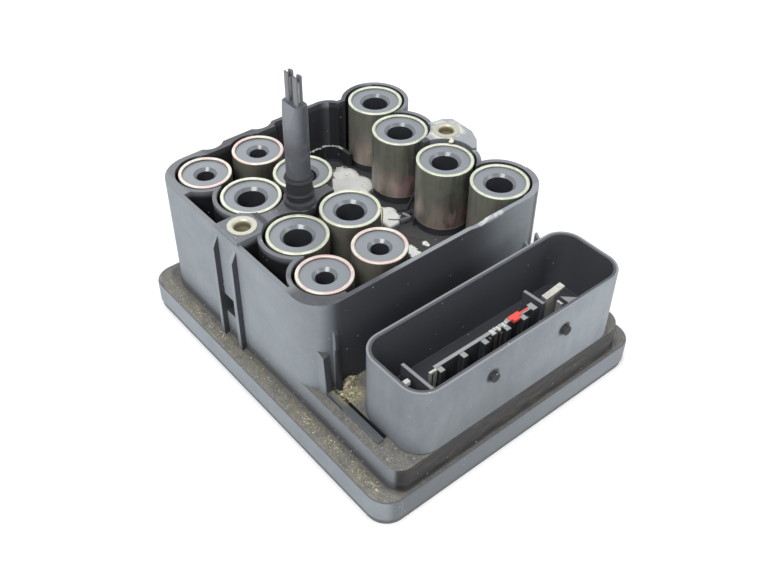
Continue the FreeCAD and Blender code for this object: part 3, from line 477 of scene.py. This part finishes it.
def can_finish(name, rim_and_highlight_colours):
    """Yellow chromated steel: olive and brown bands, rosy lobes near the can's foot, painted light on the
    left-facing sides and a bright rim, partly painted highlight.
    """
    f = Finish(name)
    streak = f.noise(0.55, 4.0, 0.6, stretch=(1, 1, 0.06))
    drift = f.noise(0.16, 3.0, 0.55, shift=(5, 1, 2))
    scratch = f.noise(3.0, 3.0, 0.6, stretch=(1, 1, 0.12))
    height = f.rise(f.z, CAN_FOOT, RIM_Z)
    body = f.ramp(streak, (0.3, (0.085, 0.085, 0.073)), (0.5, (0.150, 0.150, 0.128)),
                  (0.7, (0.24, 0.245, 0.205)))
    brown = f.times(f.rise(height, 0.8, 0.35), f.rise(drift, 0.42, 0.56))
    body = f.mix(f.times(brown, 0.8), body, f.mix(streak, (0.15, 0.10, 0.085), (0.36, 0.25, 0.225)))
    lobes = f.rise(f.noise(0.3, 2.0, 0.5, stretch=(1, 1, 0.3), shift=(9, 2, 7)), 0.44, 0.58)
    body = f.mix(f.times(f.rise(height, 0.55, 0.1), lobes, 0.65), body, (0.50, 0.325, 0.31))
    green = f.times(f.rise(height, 0.2, 0.7), f.rise(f.noise(0.2, 2.0, 0.5, shift=(2, 8, 3)), 0.46, 0.6))
    body = f.mix(f.times(green, 0.4), body, (0.22, 0.27, 0.20))
    body = f.mix(f.times(f.rise(f.x, 6.0, -6.0), 0.6), body, (0.075, 0.055, 0.052))
    # Painted light on the left-facing sides; the right-facing sides are pulled towards an even mid grey.
    body = f.mix(f.times(f.rise(f.nx, -0.35, -0.9), 0.4), body, (0.46, 0.46, 0.38))
    body = f.mix(f.times(f.rise(f.nx, 0.35, 0.8), 0.3), body, (0.17, 0.165, 0.155))
    foot = f.rise(f.z, CAN_FOOT + 0.6, CAN_FOOT + 0.1)
    body = f.mix(f.times(foot, 0.7), body, (0.62, 0.56, 0.46))
    # The rim's pale tint, brightened as a painted highlight on its rounded edge.
    rim = f.rise(f.z, RIM_Z - 0.45, RIM_Z - 0.2)
    tint = f.mix(f.rise(f.noise(0.3, 2.0, 0.5, shift=(1, 1, 9)), 0.42, 0.6), *rim_and_highlight_colours)
    rough = f.scale(f.most(f.times(rim, 0.8), scratch), 0.26, 0.5)
    return f.finish(f.mix(rim, body, tint), rough, 0.4, relief=scratch, relief_mm=0.03, strength=0.35,
                    edge_mm=0.25)


def bobbin_finish():
    """Blue-grey plastic of the coil's core: a paler dusty face, a glossy lead-in and a dark bore."""
    f = Finish("coil_core_plastic")
    blotch = f.noise(0.35, 4.0, 0.6)
    top = f.rise(f.z, 50.0, 52.5)
    face = f.times(f.rise(f.nz, 0.85, 0.97), top)
    lead_in = f.times(f.between(f.nz, 0.5, 0.85, 0.1), top)
    base = f.mix(blotch, (0.030, 0.031, 0.038), (0.044, 0.046, 0.054))
    base = f.mix(f.times(face, f.scale(blotch, 0.84, 1.0)), base, (0.24, 0.262, 0.288))
    base = f.mix(f.times(lead_in, 0.85), base, (0.19, 0.21, 0.235))
    base = f.mix(f.times(f.specks(0.7, 0.12, 0.06), face, 0.6), base, (0.5, 0.5, 0.48))
    rough = f.mix(lead_in, f.scale(blotch, 0.36, 0.5), (0.2, 0.2, 0.2))
    return f.finish(base, rough, relief=f.noise(1.6), relief_mm=0.04, strength=0.3, edge_mm=0.12,
                    Specular_IOR_Level=0.75)


def winding_finish():
    """Copper wire laid in turns: fine rings up the height of the coil."""
    f = Finish("coil_copper")
    wire_pitch = 0.35
    wave = f.math("SINE", f.times(f.z, 2 * math.pi / wire_pitch))
    base = f.mix(f.noise(0.8), (0.45, 0.2, 0.1), (0.6, 0.3, 0.15))
    return f.finish(base, 0.35, 0.9, relief=wave, relief_mm=0.08, strength=0.6)


def metal_finish(name, low, high, metallic):
    """Contact metal, dulled in patches."""
    f = Finish(name)
    blotch = f.noise(0.9, 4.0, 0.6)
    drawn = f.noise(3.5, 2.0, stretch=(1, 1, 0.2))
    return f.finish(f.mix(blotch, low, high), f.scale(blotch, 0.25, 0.5), metallic, relief=drawn,
                    relief_mm=0.03, strength=0.3, edge_mm=0.1)


def stem_finish():
    """Dark grey plastic with faint lengthwise streaks, pale edges and painted light on the left side near the
    top.
    """
    f = Finish("stem_grey_plastic")
    streak = f.noise(0.9, 4.0, 0.6, stretch=(1, 1, 0.07))
    blotch = f.noise(0.3, 4.0, 0.6)
    base = f.mix(streak, (0.050, 0.054, 0.065), (0.080, 0.086, 0.100))
    base = f.mix(f.times(f.rise(blotch, 0.46, 0.62), 0.5), base, (0.12, 0.125, 0.14))
    # Painted light on the left-facing side, growing towards the top.
    painted_light_side = f.times(f.rise(f.nx, 0.1, -0.8), f.scale(f.rise(f.z, 76.0, 90.0), 0.12, 0.85))
    base = f.mix(painted_light_side, base, (0.24, 0.252, 0.278))
    base = f.mix(f.times(f.edges(0.35), 0.5), base, (0.24, 0.25, 0.265))
    base = f.mix(f.times(f.specks(0.8, 0.13, 0.05), 0.7), base, (0.5, 0.5, 0.48))
    return f.finish(base, f.scale(streak, 0.42, 0.6), relief=streak, strength=0.3, edge_mm=0.2)


def seal_finish():
    """Matt dark rubber, a little pale along its edges."""
    f = Finish("seal_rubber")
    blotch = f.noise(0.6, 4.0, 0.6)
    base = f.mix(blotch, (0.010, 0.0105, 0.014), (0.022, 0.023, 0.028))
    base = f.mix(f.times(f.edges(0.3), 0.35), base, (0.18, 0.185, 0.19))
    return f.finish(base, f.scale(blotch, 0.6, 0.8), relief=f.noise(2.0), strength=0.4, edge_mm=0.25)


def sleeve_finish():
    """Pale yellow plated steel, cream on its flat ring and golden inside the bore, with a dark band there."""
    f = Finish("sleeve_pale_plating")
    blotch = f.noise(0.7, 4.0, 0.6)
    base = f.mix(blotch, (0.50, 0.465, 0.33), (0.68, 0.65, 0.52))
    base = f.mix(f.times(f.rise(f.nz, 0.6, 0.95), 0.9), base, (0.51, 0.51, 0.45))
    base = f.mix(f.times(f.rise(f.z, 57.0, 55.5), 0.5), base, (0.50, 0.44, 0.27))
    base = f.mix(f.times(f.between(f.z, 54.6, 56.2, 0.25), 0.7), base, (0.16, 0.13, 0.075))
    return f.finish(base, f.scale(blotch, 0.32, 0.55), 0.35, relief=f.noise(2.2), strength=0.4, edge_mm=0.2)


def silicone_finish():
    """Cream-white sealing compound with a fine crust; dark grey away from its white patches."""
    f = Finish("white_silicone")
    crust = f.noise(1.9, 5.0, 0.7)
    pits = f.noise(3.4, 3.0, 0.6, shift=(2, 2, 2))
    ragged = f.times(f.noise(0.9, 4.0, 0.6), 2.2)
    strip = f.rise(f.math("ADD", f.past_box(9.8, -2.2, 1.2, 2.4), ragged), 2.2, 1.5)
    tip = f.rise(f.math("ADD", f.away(f.x, f.y, 16.2, -2.2), ragged), 2.8, 2.1)
    back = f.patch(6.0, 28.0, 30.0, 62.0, 28.0, 40.0, 2.0)
    middle = f.patch(12.0, 24.0, 12.5, 25.5, 28.0, 40.0, 1.0)
    white = f.ramp(crust, (0.3, (0.82, 0.81, 0.73)), (0.45, (0.96, 0.95, 0.90)), (0.6, (1.0, 1.0, 0.97)))
    dark_elsewhere = f.ramp(crust, (0.35, (0.03, 0.03, 0.032)), (0.7, (0.09, 0.088, 0.08)))
    base = f.mix(f.most(back, middle, strip, tip), dark_elsewhere, white)
    bumps = f.math("ADD", crust, f.times(pits, 0.5))
    return f.finish(base, f.scale(pits, 0.6, 0.85), relief=bumps, relief_mm=0.22, strength=0.6,
                    Subsurface_Weight=0.05)


def grit_finish():
    """Sandy grit: each grain has its own tan, gold or chalk colour from the place that it lies in."""
    f = Finish("sand_grains")
    tone = f.noise(1.3, 2.0, 0.5, shift=(6, 1, 3))
    base = f.ramp(tone, (0.34, (0.15, 0.135, 0.10)), (0.47, (0.30, 0.27, 0.18)), (0.56, (0.52, 0.47, 0.30)),
                  (0.66, (0.76, 0.73, 0.58)))
    return f.finish(base, f.scale(tone, 0.6, 0.9), relief=f.noise(5.0), relief_mm=0.03)


def red_finish():
    """Red plastic in two soft shades."""
    f = Finish("red_plastic")
    blotch = f.noise(1.1, 3.0, 0.6)
    base = f.mix(blotch, (0.72, 0.045, 0.035), (0.86, 0.11, 0.085))
    return f.finish(base, f.scale(blotch, 0.4, 0.6), relief=f.noise(3.0), relief_mm=0.04)


def chalk_finish():
    """Chalky grey-white fragments."""
    f = Finish("pale_fragments")
    blotch = f.noise(0.9, 4.0, 0.65)
    base = f.mix(blotch, (0.30, 0.31, 0.31), (0.74, 0.74, 0.70))
    return f.finish(base, f.scale(blotch, 0.45, 0.7), relief=f.noise(2.5), relief_mm=0.08)


def lip_finish():
    """Grey scuffed plastic of the small lip on the bay's floor."""
    f = Finish("lip_grey_plastic")
    blotch = f.noise(0.8, 4.0, 0.6)
    base = f.mix(blotch, (0.13, 0.135, 0.14), (0.33, 0.34, 0.34))
    return f.finish(base, f.scale(blotch, 0.4, 0.65), relief=f.noise(2.5))


def smear_finish():
    """Cream compound squeezed out beside the right sleeve."""
    f = Finish("cream_smear")
    blotch = f.noise(1.1, 4.0, 0.6)
    base = f.mix(blotch, (0.62, 0.60, 0.46), (0.86, 0.85, 0.74))
    return f.finish(base, f.scale(blotch, 0.45, 0.7), relief=blotch, relief_mm=0.1)


def brass_finish():
    """Bare brass wire."""
    f = Finish("brass_wire")
    blotch = f.noise(1.2, 3.0, 0.6)
    base = f.mix(blotch, (0.66, 0.54, 0.20), (0.90, 0.80, 0.42))
    return f.finish(base, f.scale(blotch, 0.22, 0.4), 0.35)


# Surfaces of the small pieces

def skin(rings):
    """Closed skin over a stack of rings, as an array (rings, sides, 3).

    Each ring is joined to the next, and the first and the last close on their mean points.
    """
    rings = np.asarray(rings, float)
    count, sides = rings.shape[:2]
    points = np.concatenate([rings.reshape(-1, 3), rings[0].mean(0)[None], rings[-1].mean(0)[None]])
    index = np.arange(count * sides).reshape(count, sides)
    after = np.roll(index, -1, axis=1)
    quads = np.stack([index[:-1], after[:-1], after[1:], index[1:]], -1).reshape(-1, 4)
    low = np.stack([after[0], index[0], np.full(sides, count * sides)], -1)
    high = np.stack([index[-1], after[-1], np.full(sides, count * sides + 1)], -1)
    return points, quads, np.concatenate([low, high])


def smooth_path(points, steps):
    """Catmull-Rom curve through the points: each span mixes its four neighbours by cubic weights of t."""
    p = np.asarray(points, float)
    p = np.concatenate([2 * p[:1] - p[1:2], p, 2 * p[-1:] - p[-2:-1]])
    t = np.linspace(0, 1, steps, endpoint=False)[None, :, None]
    a, b, c, d = p[:-3, None], p[1:-2, None], p[2:-1, None], p[3:, None]
    curve = 0.5 * (2 * b + (c - a) * t + (2 * a - 5 * b + 4 * c - d) * t ** 2
                   + (3 * b - a - 3 * c + d) * t ** 3)
    return np.concatenate([curve.reshape(-1, 3), p[-2:-1]])


def carried(path, profile, up=(0.0, 0.0, 1.0)):
    """A flat profile carried along a path.

    At each point it stands across the path, with its first axis level and its second towards up.
    """
    path, profile = np.asarray(path, float), np.asarray(profile, float)
    along = np.gradient(path, axis=0)
    along /= np.linalg.norm(along, axis=1, keepdims=True)
    across = np.cross(along, np.asarray(up, float))
    across /= np.maximum(np.linalg.norm(across, axis=1, keepdims=True), 1e-9)
    over = np.cross(across, along)
    return skin(path[:, None] + profile[None, :, :1] * across[:, None] + profile[None, :, 1:] * over[:, None])


def circle(radius, sides):
    """Points at equal angles: radius times the cosine and the sine."""
    t = np.arange(sides) * 2 * np.pi / sides
    return np.stack([radius * np.cos(t), radius * np.sin(t)], -1)


def oblong(width, height, corner=0.12):
    """A rectangle with its corners cut off by the corner length."""
    w, h, c = width / 2, height / 2, min(corner, width / 3, height / 3)
    return np.array([(w - c, -h), (w, -h + c), (w, h - c), (w - c, h),
                     (-w + c, h), (-w, h - c), (-w, -h + c), (-w + c, -h)])


def block(x0, x1, y0, y1, z0, z1):
    """A small bar with its long edges cut off: an oblong outline carried along X."""
    start = np.array([x0, (y0 + y1) / 2, (z0 + z1) / 2])
    end = np.array([x1, (y0 + y1) / 2, (z0 + z1) / 2])
    return carried(np.linspace(start, end, 4), oblong(y1 - y0, z1 - z0, 0.15))


def turned(x, y, cx, cy, turn):
    """Points in plan, turned by an angle and moved to a centre."""
    c, s = math.cos(turn), math.sin(turn)
    return cx + c * x - s * y, cy + s * x + c * y


def mound(cx, cy, z0, half_x, half_y, height, seed, turn=0.0, rings=14, sides=44):
    """A lump on a floor, over radius r, from 1 at its foot to 0 at its top, and an angle t.

    The height is h * (1 - r^2.4). A few sine waves of t move the edge and the top, and a random
    ripple, averaged over three neighbours, fades out towards the foot.
    """
    rng = np.random.default_rng(seed)
    t = np.arange(sides) * 2 * np.pi / sides
    r = np.linspace(1.0, 0.06, rings)[:, None]
    phase = rng.uniform(0, 2 * np.pi, 5)
    edge = 1 + sum(0.11 / k * np.sin((k + 1) * t + phase[k - 1]) for k in range(1, 6))
    ripple = rng.normal(0, 0.16, (rings, sides))
    ripple = (ripple + np.roll(ripple, 1, 1) + np.roll(ripple, -1, 1)) / 3
    x, y = turned(half_x * r * edge * np.cos(t), half_y * r * edge * np.sin(t), cx, cy, turn)
    crown = height * (1 - r ** 2.4) * (1 + 0.15 * np.sin(2 * t + phase[0]))
    return skin(np.stack([x, y, z0 - 0.15 + crown + ripple * height * (1 - r ** 4)], -1))


def grains(spots, sizes, seed):
    """Many small stones: an eight-faced one of its own length, width, height and turn at each spot."""
    rng = np.random.default_rng(seed)
    n = len(spots)
    corners = np.array([(1, 0, 0), (0, 1, 0), (-1, 0, 0), (0, -1, 0), (0, 0, 1), (0, 0, -0.6)], float)
    shape = sizes[:, None] * rng.uniform((0.7, 0.5, 0.4), (1.5, 1.0, 0.9), (n, 3))
    turn = rng.uniform(0, 2 * np.pi, n)
    local = corners[None] * shape[:, None]
    local += rng.normal(0, 0.18, local.shape) * sizes[:, None, None]
    c, s = np.cos(turn)[:, None], np.sin(turn)[:, None]
    x, y = c * local[..., 0] - s * local[..., 1], s * local[..., 0] + c * local[..., 1]
    points = np.stack([x, y, local[..., 2]], -1) + spots[:, None]
    faces = np.array([(0, 1, 4), (1, 2, 4), (2, 3, 4), (3, 0, 4), (1, 0, 5), (2, 1, 5), (3, 2, 5), (0, 3, 5)])
    faces = (faces[None] + len(corners) * np.arange(n)[:, None, None]).reshape(-1, 3)
    return points.reshape(-1, 3), np.zeros((0, 4), int), faces


def lying(xy, z, size, rng):
    """Spots on a floor at height z, with sizes from a skewed random number; a quarter of each is sunk."""
    sizes = size * (0.45 + 0.9 * rng.random(len(xy)) ** 2.5)
    return np.column_stack([xy, np.full(len(xy), z) + sizes * 0.25]), sizes


def scatter(count, seed, low, high, z, size, power=1.0):
    """Random spots in a rectangle, thinned towards its high-x side by the power."""
    rng = np.random.default_rng(seed)
    u = rng.random((count, 2))
    u[:, 0] = u[:, 0] ** power
    return lying(np.array(low) + u * (np.array(high) - np.array(low)), z, size, rng)


def heap(count, seed, cx, cy, half_x, half_y, z, size):
    """Random spots heaped round a centre by the bell curve."""
    rng = np.random.default_rng(seed)
    spread = np.clip(rng.normal(0, 1, (count, 2)), -2, 2)
    return lying(np.array([cx, cy]) + spread * np.array([half_x, half_y]), z, size, rng)


def crust_grains(cx, cy, z0, half_x, half_y, height, seed, turn, per_area=16):
    """Crumbs all over a mound and a little past its foot: at radius r each stands at h * (1 - r^2.4)."""
    rng = np.random.default_rng(seed)
    count = int(per_area * half_x * half_y)
    r, t = np.sqrt(rng.random(count)) * 1.08, rng.uniform(0, 2 * np.pi, count)
    x, y = turned(half_x * r * np.cos(t), half_y * r * np.sin(t), cx, cy, turn)
    sizes = 0.10 + 0.22 * rng.random(count) ** 2
    z = z0 - 0.1 + height * np.clip(1 - r ** 2.4, 0, 1)
    return grains(np.column_stack([x, y, z]), sizes, seed + 1)


def ledge_crumbs():
    """Crumbs along the ledge of the bay's back wall: half on its straight stretch, half round its corner."""
    rng = np.random.default_rng(21)
    count, start_x, corner_x, corner_y, radius = 130, 12.4, 18.6, 55.3, 5.9
    t = rng.random(count)
    straight = t < 0.5
    angle = np.pi / 2 * (1 - (t - 0.5) / 0.5)
    x = np.where(straight, start_x + (corner_x - start_x) * t / 0.5, corner_x + radius * np.cos(angle))
    y = np.where(straight, corner_y + radius, corner_y + radius * np.sin(angle))
    sizes = 0.14 + 0.5 * rng.random(count) ** 3
    spots = np.column_stack([x, y + rng.normal(0, 0.12, count), BACK_LEDGE + 0.2 * sizes])
    return grains(spots, sizes, 22)


def piece(name, skins, material, smooth=True):
    """One object out of several closed skins, its faces turned outwards."""
    start, points, faces = 0, [], []
    for corners, quads, triangles in skins:
        points.append(corners)
        faces += (quads + start).tolist() + (triangles + start).tolist()
        start += len(corners)
    mesh = bpy.data.meshes.new(name)
    mesh.from_pydata((np.concatenate(points) * MM).tolist(), [], faces)
    work = bmesh.new()
    work.from_mesh(mesh)
    bmesh.ops.recalc_face_normals(work, faces=work.faces)
    work.to_mesh(mesh)
    work.free()
    mesh.polygons.foreach_set("use_smooth", np.full(len(mesh.polygons), smooth))
    mesh.materials.append(material)
    obj = bpy.data.objects.new(name, mesh)
    SCENE.collection.objects.link(obj)
    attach(obj, "root")


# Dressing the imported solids

def dress(prefix, material):
    """Gives the material to every node whose name starts with the prefix."""
    for name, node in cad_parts.items():
        if name.startswith(prefix):
            node.data.materials.clear()
            node.data.materials.append(material)


guide = guide_finish()
silicone = silicone_finish()
contact = metal_finish("contact_metal", (0.42, 0.41, 0.37), (0.76, 0.75, 0.70), 0.6)
cream_can = can_finish("can_chromate_cream", ((0.60, 0.64, 0.50), (0.72, 0.74, 0.62)))
rosy_can = can_finish("can_chromate_rose", ((0.72, 0.55, 0.52), (0.74, 0.70, 0.61)))
dress("housing", housing_finish())
dress("terminal_guide", guide)
dress("base_cover", cover_finish())
dress("circuit_board", board_finish())
for number in LARGE_COILS:
    dress("coil_can_" + number, cream_can)
for number in SMALL_COILS:
    dress("coil_can_" + number, rosy_can)
dress("coil_bobbin", bobbin_finish())
dress("coil_winding", winding_finish())
for part in ("coil_pins", "motor_contact", "power_blade", "blade_front"):
    dress(part, contact)
dress("contact_strips", metal_finish("strip_dark_metal", (0.045, 0.048, 0.060), (0.10, 0.105, 0.125), 0.5))
dress("pin_stubs", metal_finish("stub_dull_metal", (0.05, 0.05, 0.048), (0.20, 0.195, 0.175), 0.5))
dress("motor_stem", stem_finish())
dress("stem_seal", seal_finish())
dress("sleeve_", sleeve_finish())
dress("silicone_bead", silicone)


# Grit, crumbly silicone and crumbs

sand = grit_finish()
chalk = chalk_finish()
fields = [
    scatter(420, 1, (-55.2, -62.0), (-51.0, 56.0), FLANGE_TOP, 0.17),
    scatter(60, 2, (-54.8, -60.0), (-51.4, 40.0), FLANGE_TOP, 0.34),
    scatter(420, 4, (-45.0, -34.6), (-38.0, -27.8), PLATEAU_TOP, 0.24, 1.2),
    scatter(46, 8, (-44.6, -33.6), (-39.0, -28.0), PLATEAU_TOP, 0.42),
    scatter(90, 5, (-49.2, -60.0), (-45.2, -36.0), PLATEAU_TOP, 0.18),
    scatter(60, 6, (-38.0, -36.6), (20.0, -27.8), PLATEAU_TOP, 0.2, 1.5),
    heap(80, 31, -53.0, -26.0, 0.9, 3.0, FLANGE_TOP, 0.26),
    heap(110, 32, -52.9, -38.5, 0.9, 3.0, FLANGE_TOP, 0.28),
    heap(70, 33, -53.7, 40.0, 0.7, 4.0, FLANGE_TOP, 0.24),
    heap(80, 34, -53.6, 21.0, 0.7, 5.0, FLANGE_TOP, 0.24),
    heap(80, 35, -52.6, -49.0, 0.9, 2.4, FLANGE_TOP, 0.26),
    heap(60, 36, -52.2, -57.5, 0.9, 1.8, FLANGE_TOP, 0.24),
]
spots = np.concatenate([field_spots for field_spots, _ in fields])
sizes = np.concatenate([field_sizes for _, field_sizes in fields])
piece("dust_grains", [grains(spots, sizes, 7)], sand, smooth=False)
# The bank of grit beside the shroud: its centre, foot, half sizes and height
BANK = (-38.4, -28.3, PLATEAU_TOP + 0.1, 3.6, 2.0, 2.3)
bank_skins = [mound(*BANK, 51, rings=9, sides=36), crust_grains(*BANK, 52, 0.0, per_area=40)]
piece("dust_bank", bank_skins, sand, smooth=False)

# Mounds of crumbly silicone, each as its centre, half sizes, height and turn
SILICONE_FOOT = BOX_FLOOR + 0.5
PATCHES = {
    "silicone_back": ((17.0, 41.0, 8.6, 7.4, 1.2, 0.0), (21.0, 49.0, 4.2, 5.4, 1.1, 0.0)),
    "silicone_middle": ((17.0, 20.0, 4.2, 4.8, 1.7, 0.3),),
    "silicone_front": ((10.4, -1.6, 3.4, 0.9, 1.5, 0.86), (15.7, -2.1, 1.1, 1.6, 1.6, 0.3)),
}
for seed, (name, mounds) in enumerate(PATCHES.items(), 11):
    lumps = []
    crusts = []
    for k, (x, y, half_x, half_y, high, turn) in enumerate(mounds):
        shape = (x, y, SILICONE_FOOT, half_x, half_y, high)
        lumps.append(mound(*shape, seed + 7 * k, turn))
        crusts.append(crust_grains(*shape, seed + 50 + k, turn))
    piece(name, lumps + crusts, silicone)

crumb_heaps = [heap(9, 41, 19.9, 61.0, 0.5, 0.2, BACK_LEDGE + 0.1, 0.5),
               heap(7, 42, 24.4, 57.0, 0.2, 0.5, BACK_LEDGE + 0.1, 0.5)]
crumbs = [ledge_crumbs()] + [grains(*one, 43) for one in crumb_heaps]
piece("ledge_crumbs", crumbs, chalk, smooth=False)


# Scraps on the terminal guide, small pieces on the bay's floor and a smear by the right sleeve

red_blocks = [block(-0.6, 3.7, GUIDE_Y - 0.65, GUIDE_Y + 0.95, GUIDE_TOP - 0.3, GUIDE_TOP + 0.7),
              block(3.4, 7.6, GUIDE_Y - 0.1, GUIDE_Y + 0.5, GUIDE_TOP - 0.3, GUIDE_TOP + 0.3),
              block(0.2, 2.7, GUIDE_Y - 1.5, GUIDE_Y - 0.5, GUIDE_TOP - 0.6, GUIDE_TOP + 0.6)]
piece("red_marker", red_blocks, red_finish(), smooth=False)
# Pale scraps, each as its left end, width, reach to the front and height over the guide
SCRAPS = ((-8.6, 1.3, 1.4, 0.18), (-7.0, 0.7, 0.3, 0.3), (-5.9, 0.9, 1.2, 0.15), (-4.6, 0.5, 0.2, 0.28),
          (-3.7, 1.0, 1.3, 0.2), (-2.3, 0.8, 0.5, 0.34))
scraps = [block(left, left + width, GUIDE_Y - front, GUIDE_Y + 0.7, GUIDE_TOP - 0.5, GUIDE_TOP + high)
          for left, width, front, high in SCRAPS]
stub_tip = block(-41.2, -39.4, GUIDE_Y - 0.2, GUIDE_Y + 1.3, GUIDE_TOP - 0.9, GUIDE_TOP + 0.7)
piece("pale_fragments", scraps + [stub_tip], chalk, smooth=False)

wire = smooth_path([(-3.9, -0.3, 56.1), (-3.3, -0.75, 56.2), (-2.95, -1.05, 55.4), (-2.9, -1.1, 52.0),
                    (-3.0, -1.0, 48.0)], 8)
piece("brass_wire_end", [carried(wire, circle(0.2, 8), up=(1.0, 0.0, 0.0))], brass_finish())
clip = smooth_path([(20.4, 13.7, 30.9), (22.3, 13.1, 31.1), (21.9, 14.8, 31.3), (21.4, 16.4, 31.2)], 6)
piece("bent_clip", [carried(clip, oblong(0.35, 0.9))], chalk, smooth=False)
lip = smooth_path([(14.6, 16.4, 31.0), (16.6, 14.4, 31.1), (19.4, 13.0, 31.1), (22.2, 12.6, 31.1)], 8)
piece("floor_lip", [carried(lip, oblong(0.5, 2.3))], lip_finish())
post = np.linspace((21.2, 9.9, 29.9), (21.2, 9.9, 33.6), 4)
piece("floor_post", [carried(post, oblong(0.9, 0.7), up=(0.0, 1.0, 0.0))], guide, smooth=False)
smear = mound(39.6, 12.4, 56.9, 1.5, 0.9, 0.5, 31, 0.4, rings=7, sides=24)
piece("sleeve_smear", [smear], smear_finish())


# Camera, lamps and floor, in metres

def aim_camera():
    """The camera that the photograph was taken with, as a place, three axes and a focal length."""
    place = (-0.16179, -0.18907, 0.24544)
    azimuth, height, roll = -0.705170, 0.738789, 0.0153043
    level = math.cos(height)
    back = Vector((math.sin(azimuth) * level, -math.cos(azimuth) * level, math.sin(height)))
    right = (-back).cross(Vector((0, 0, 1))).normalized()
    up = right.cross(-back)
    axis_x = math.cos(roll) * right + math.sin(roll) * up
    axis_y = -math.sin(roll) * right + math.cos(roll) * up
    data = bpy.data.cameras.new("photo_camera")
    data.sensor_fit = "HORIZONTAL"
    data.sensor_width = 36.0
    data.lens = 45.22
    data.clip_start = 0.01
    data.clip_end = 20.0
    camera = bpy.data.objects.new("photo_camera", data)
    SCENE.collection.objects.link(camera)
    axes = Matrix((axis_x, axis_y, back)).transposed().to_4x4()
    camera.matrix_world = Matrix.Translation(place) @ axes
    SCENE.camera = camera


def lamp(name, place, target, size, power):
    """A round soft lamp that shines at the target."""
    data = bpy.data.lights.new(name, "AREA")
    data.shape = "DISK"
    data.size = size
    data.energy = power
    obj = bpy.data.objects.new(name, data)
    obj.location = place
    obj.rotation_euler = (Vector(target) - Vector(place)).to_track_quat("-Z", "Y").to_euler()
    SCENE.collection.objects.link(obj)


def seen_directly(tree):
    """1 for camera, glossy and transmission rays."""
    rays = tree.nodes.new("ShaderNodeLightPath")
    out = rays.outputs["Is Camera Ray"]
    for name in ("Is Glossy Ray", "Is Transmission Ray"):
        either = tree.nodes.new("ShaderNodeMath")
        either.operation = "MAXIMUM"
        tree.links.new(out, either.inputs[0])
        tree.links.new(rays.outputs[name], either.inputs[1])
        out = either.outputs[0]
    return out


def lay_floor():
    """A wide pale floor with a little glow where it is seen, so that it goes white and keeps the shadow."""
    reach, lines = 6.0, 9
    steps = np.linspace(-reach, reach, lines)
    gx, gy = np.meshgrid(steps, steps, indexing="ij")
    points = np.stack([gx, gy, np.zeros_like(gx)], -1).reshape(-1, 3)
    index = np.arange(lines * lines).reshape(lines, lines)
    quads = np.stack([index[:-1, :-1], index[1:, :-1], index[1:, 1:], index[:-1, 1:]], -1).reshape(-1, 4)
    mesh = bpy.data.meshes.new("floor")
    mesh.from_pydata(points.tolist(), [], quads.tolist())
    floor = bpy.data.objects.new("floor", mesh)
    SCENE.collection.objects.link(floor)
    material = bpy.data.materials.new("floor_white")
    material.use_nodes = True
    tree = material.node_tree
    tree.nodes.clear()
    out = tree.nodes.new("ShaderNodeOutputMaterial")
    both = tree.nodes.new("ShaderNodeAddShader")
    matt = tree.nodes.new("ShaderNodeBsdfDiffuse")
    matt.inputs["Color"].default_value = (0.86, 0.86, 0.86, 1)
    glow = tree.nodes.new("ShaderNodeEmission")
    shown = tree.nodes.new("ShaderNodeMath")
    shown.operation = "MULTIPLY"
    shown.inputs[1].default_value = 0.2
    tree.links.new(seen_directly(tree), shown.inputs[0])
    tree.links.new(shown.outputs[0], glow.inputs["Strength"])
    tree.links.new(matt.outputs[0], both.inputs[0])
    tree.links.new(glow.outputs[0], both.inputs[1])
    tree.links.new(both.outputs[0], out.inputs["Surface"])
    mesh.materials.append(material)


def light_world():
    """Soft grey light from all round; white where it is seen directly."""
    world = bpy.data.worlds.new("studio")
    SCENE.world = world
    world.use_nodes = True
    tree = world.node_tree
    tree.nodes.clear()
    out = tree.nodes.new("ShaderNodeOutputWorld")
    soft = tree.nodes.new("ShaderNodeBackground")
    soft.inputs["Color"].default_value = (0.96, 0.98, 1.0, 1)
    soft.inputs["Strength"].default_value = 0.46
    white = tree.nodes.new("ShaderNodeBackground")
    white.inputs["Strength"].default_value = 1.0
    pick = tree.nodes.new("ShaderNodeMixShader")
    tree.links.new(seen_directly(tree), pick.inputs[0])
    tree.links.new(soft.outputs[0], pick.inputs[1])
    tree.links.new(white.outputs[0], pick.inputs[2])
    tree.links.new(pick.outputs[0], out.inputs["Surface"])


SCENE.view_settings.view_transform = "Standard"
aim_camera()
lay_floor()
light_world()
lamp("key_lamp", (-0.75, -0.35, 1.0), (0, 0, 0.03), 0.6, 8.0)
lamp("top_lamp", (-0.05, 0.05, 1.4), (0, 0, 0.03), 0.6, 5.0)
lamp("fill_lamp", (0.55, -0.9, 0.6), (0, 0, 0.03), 0.8, 3.6)
lamp("back_lamp", (0.2, 1.0, 0.8), (0, 0, 0.04), 0.6, 3.0)
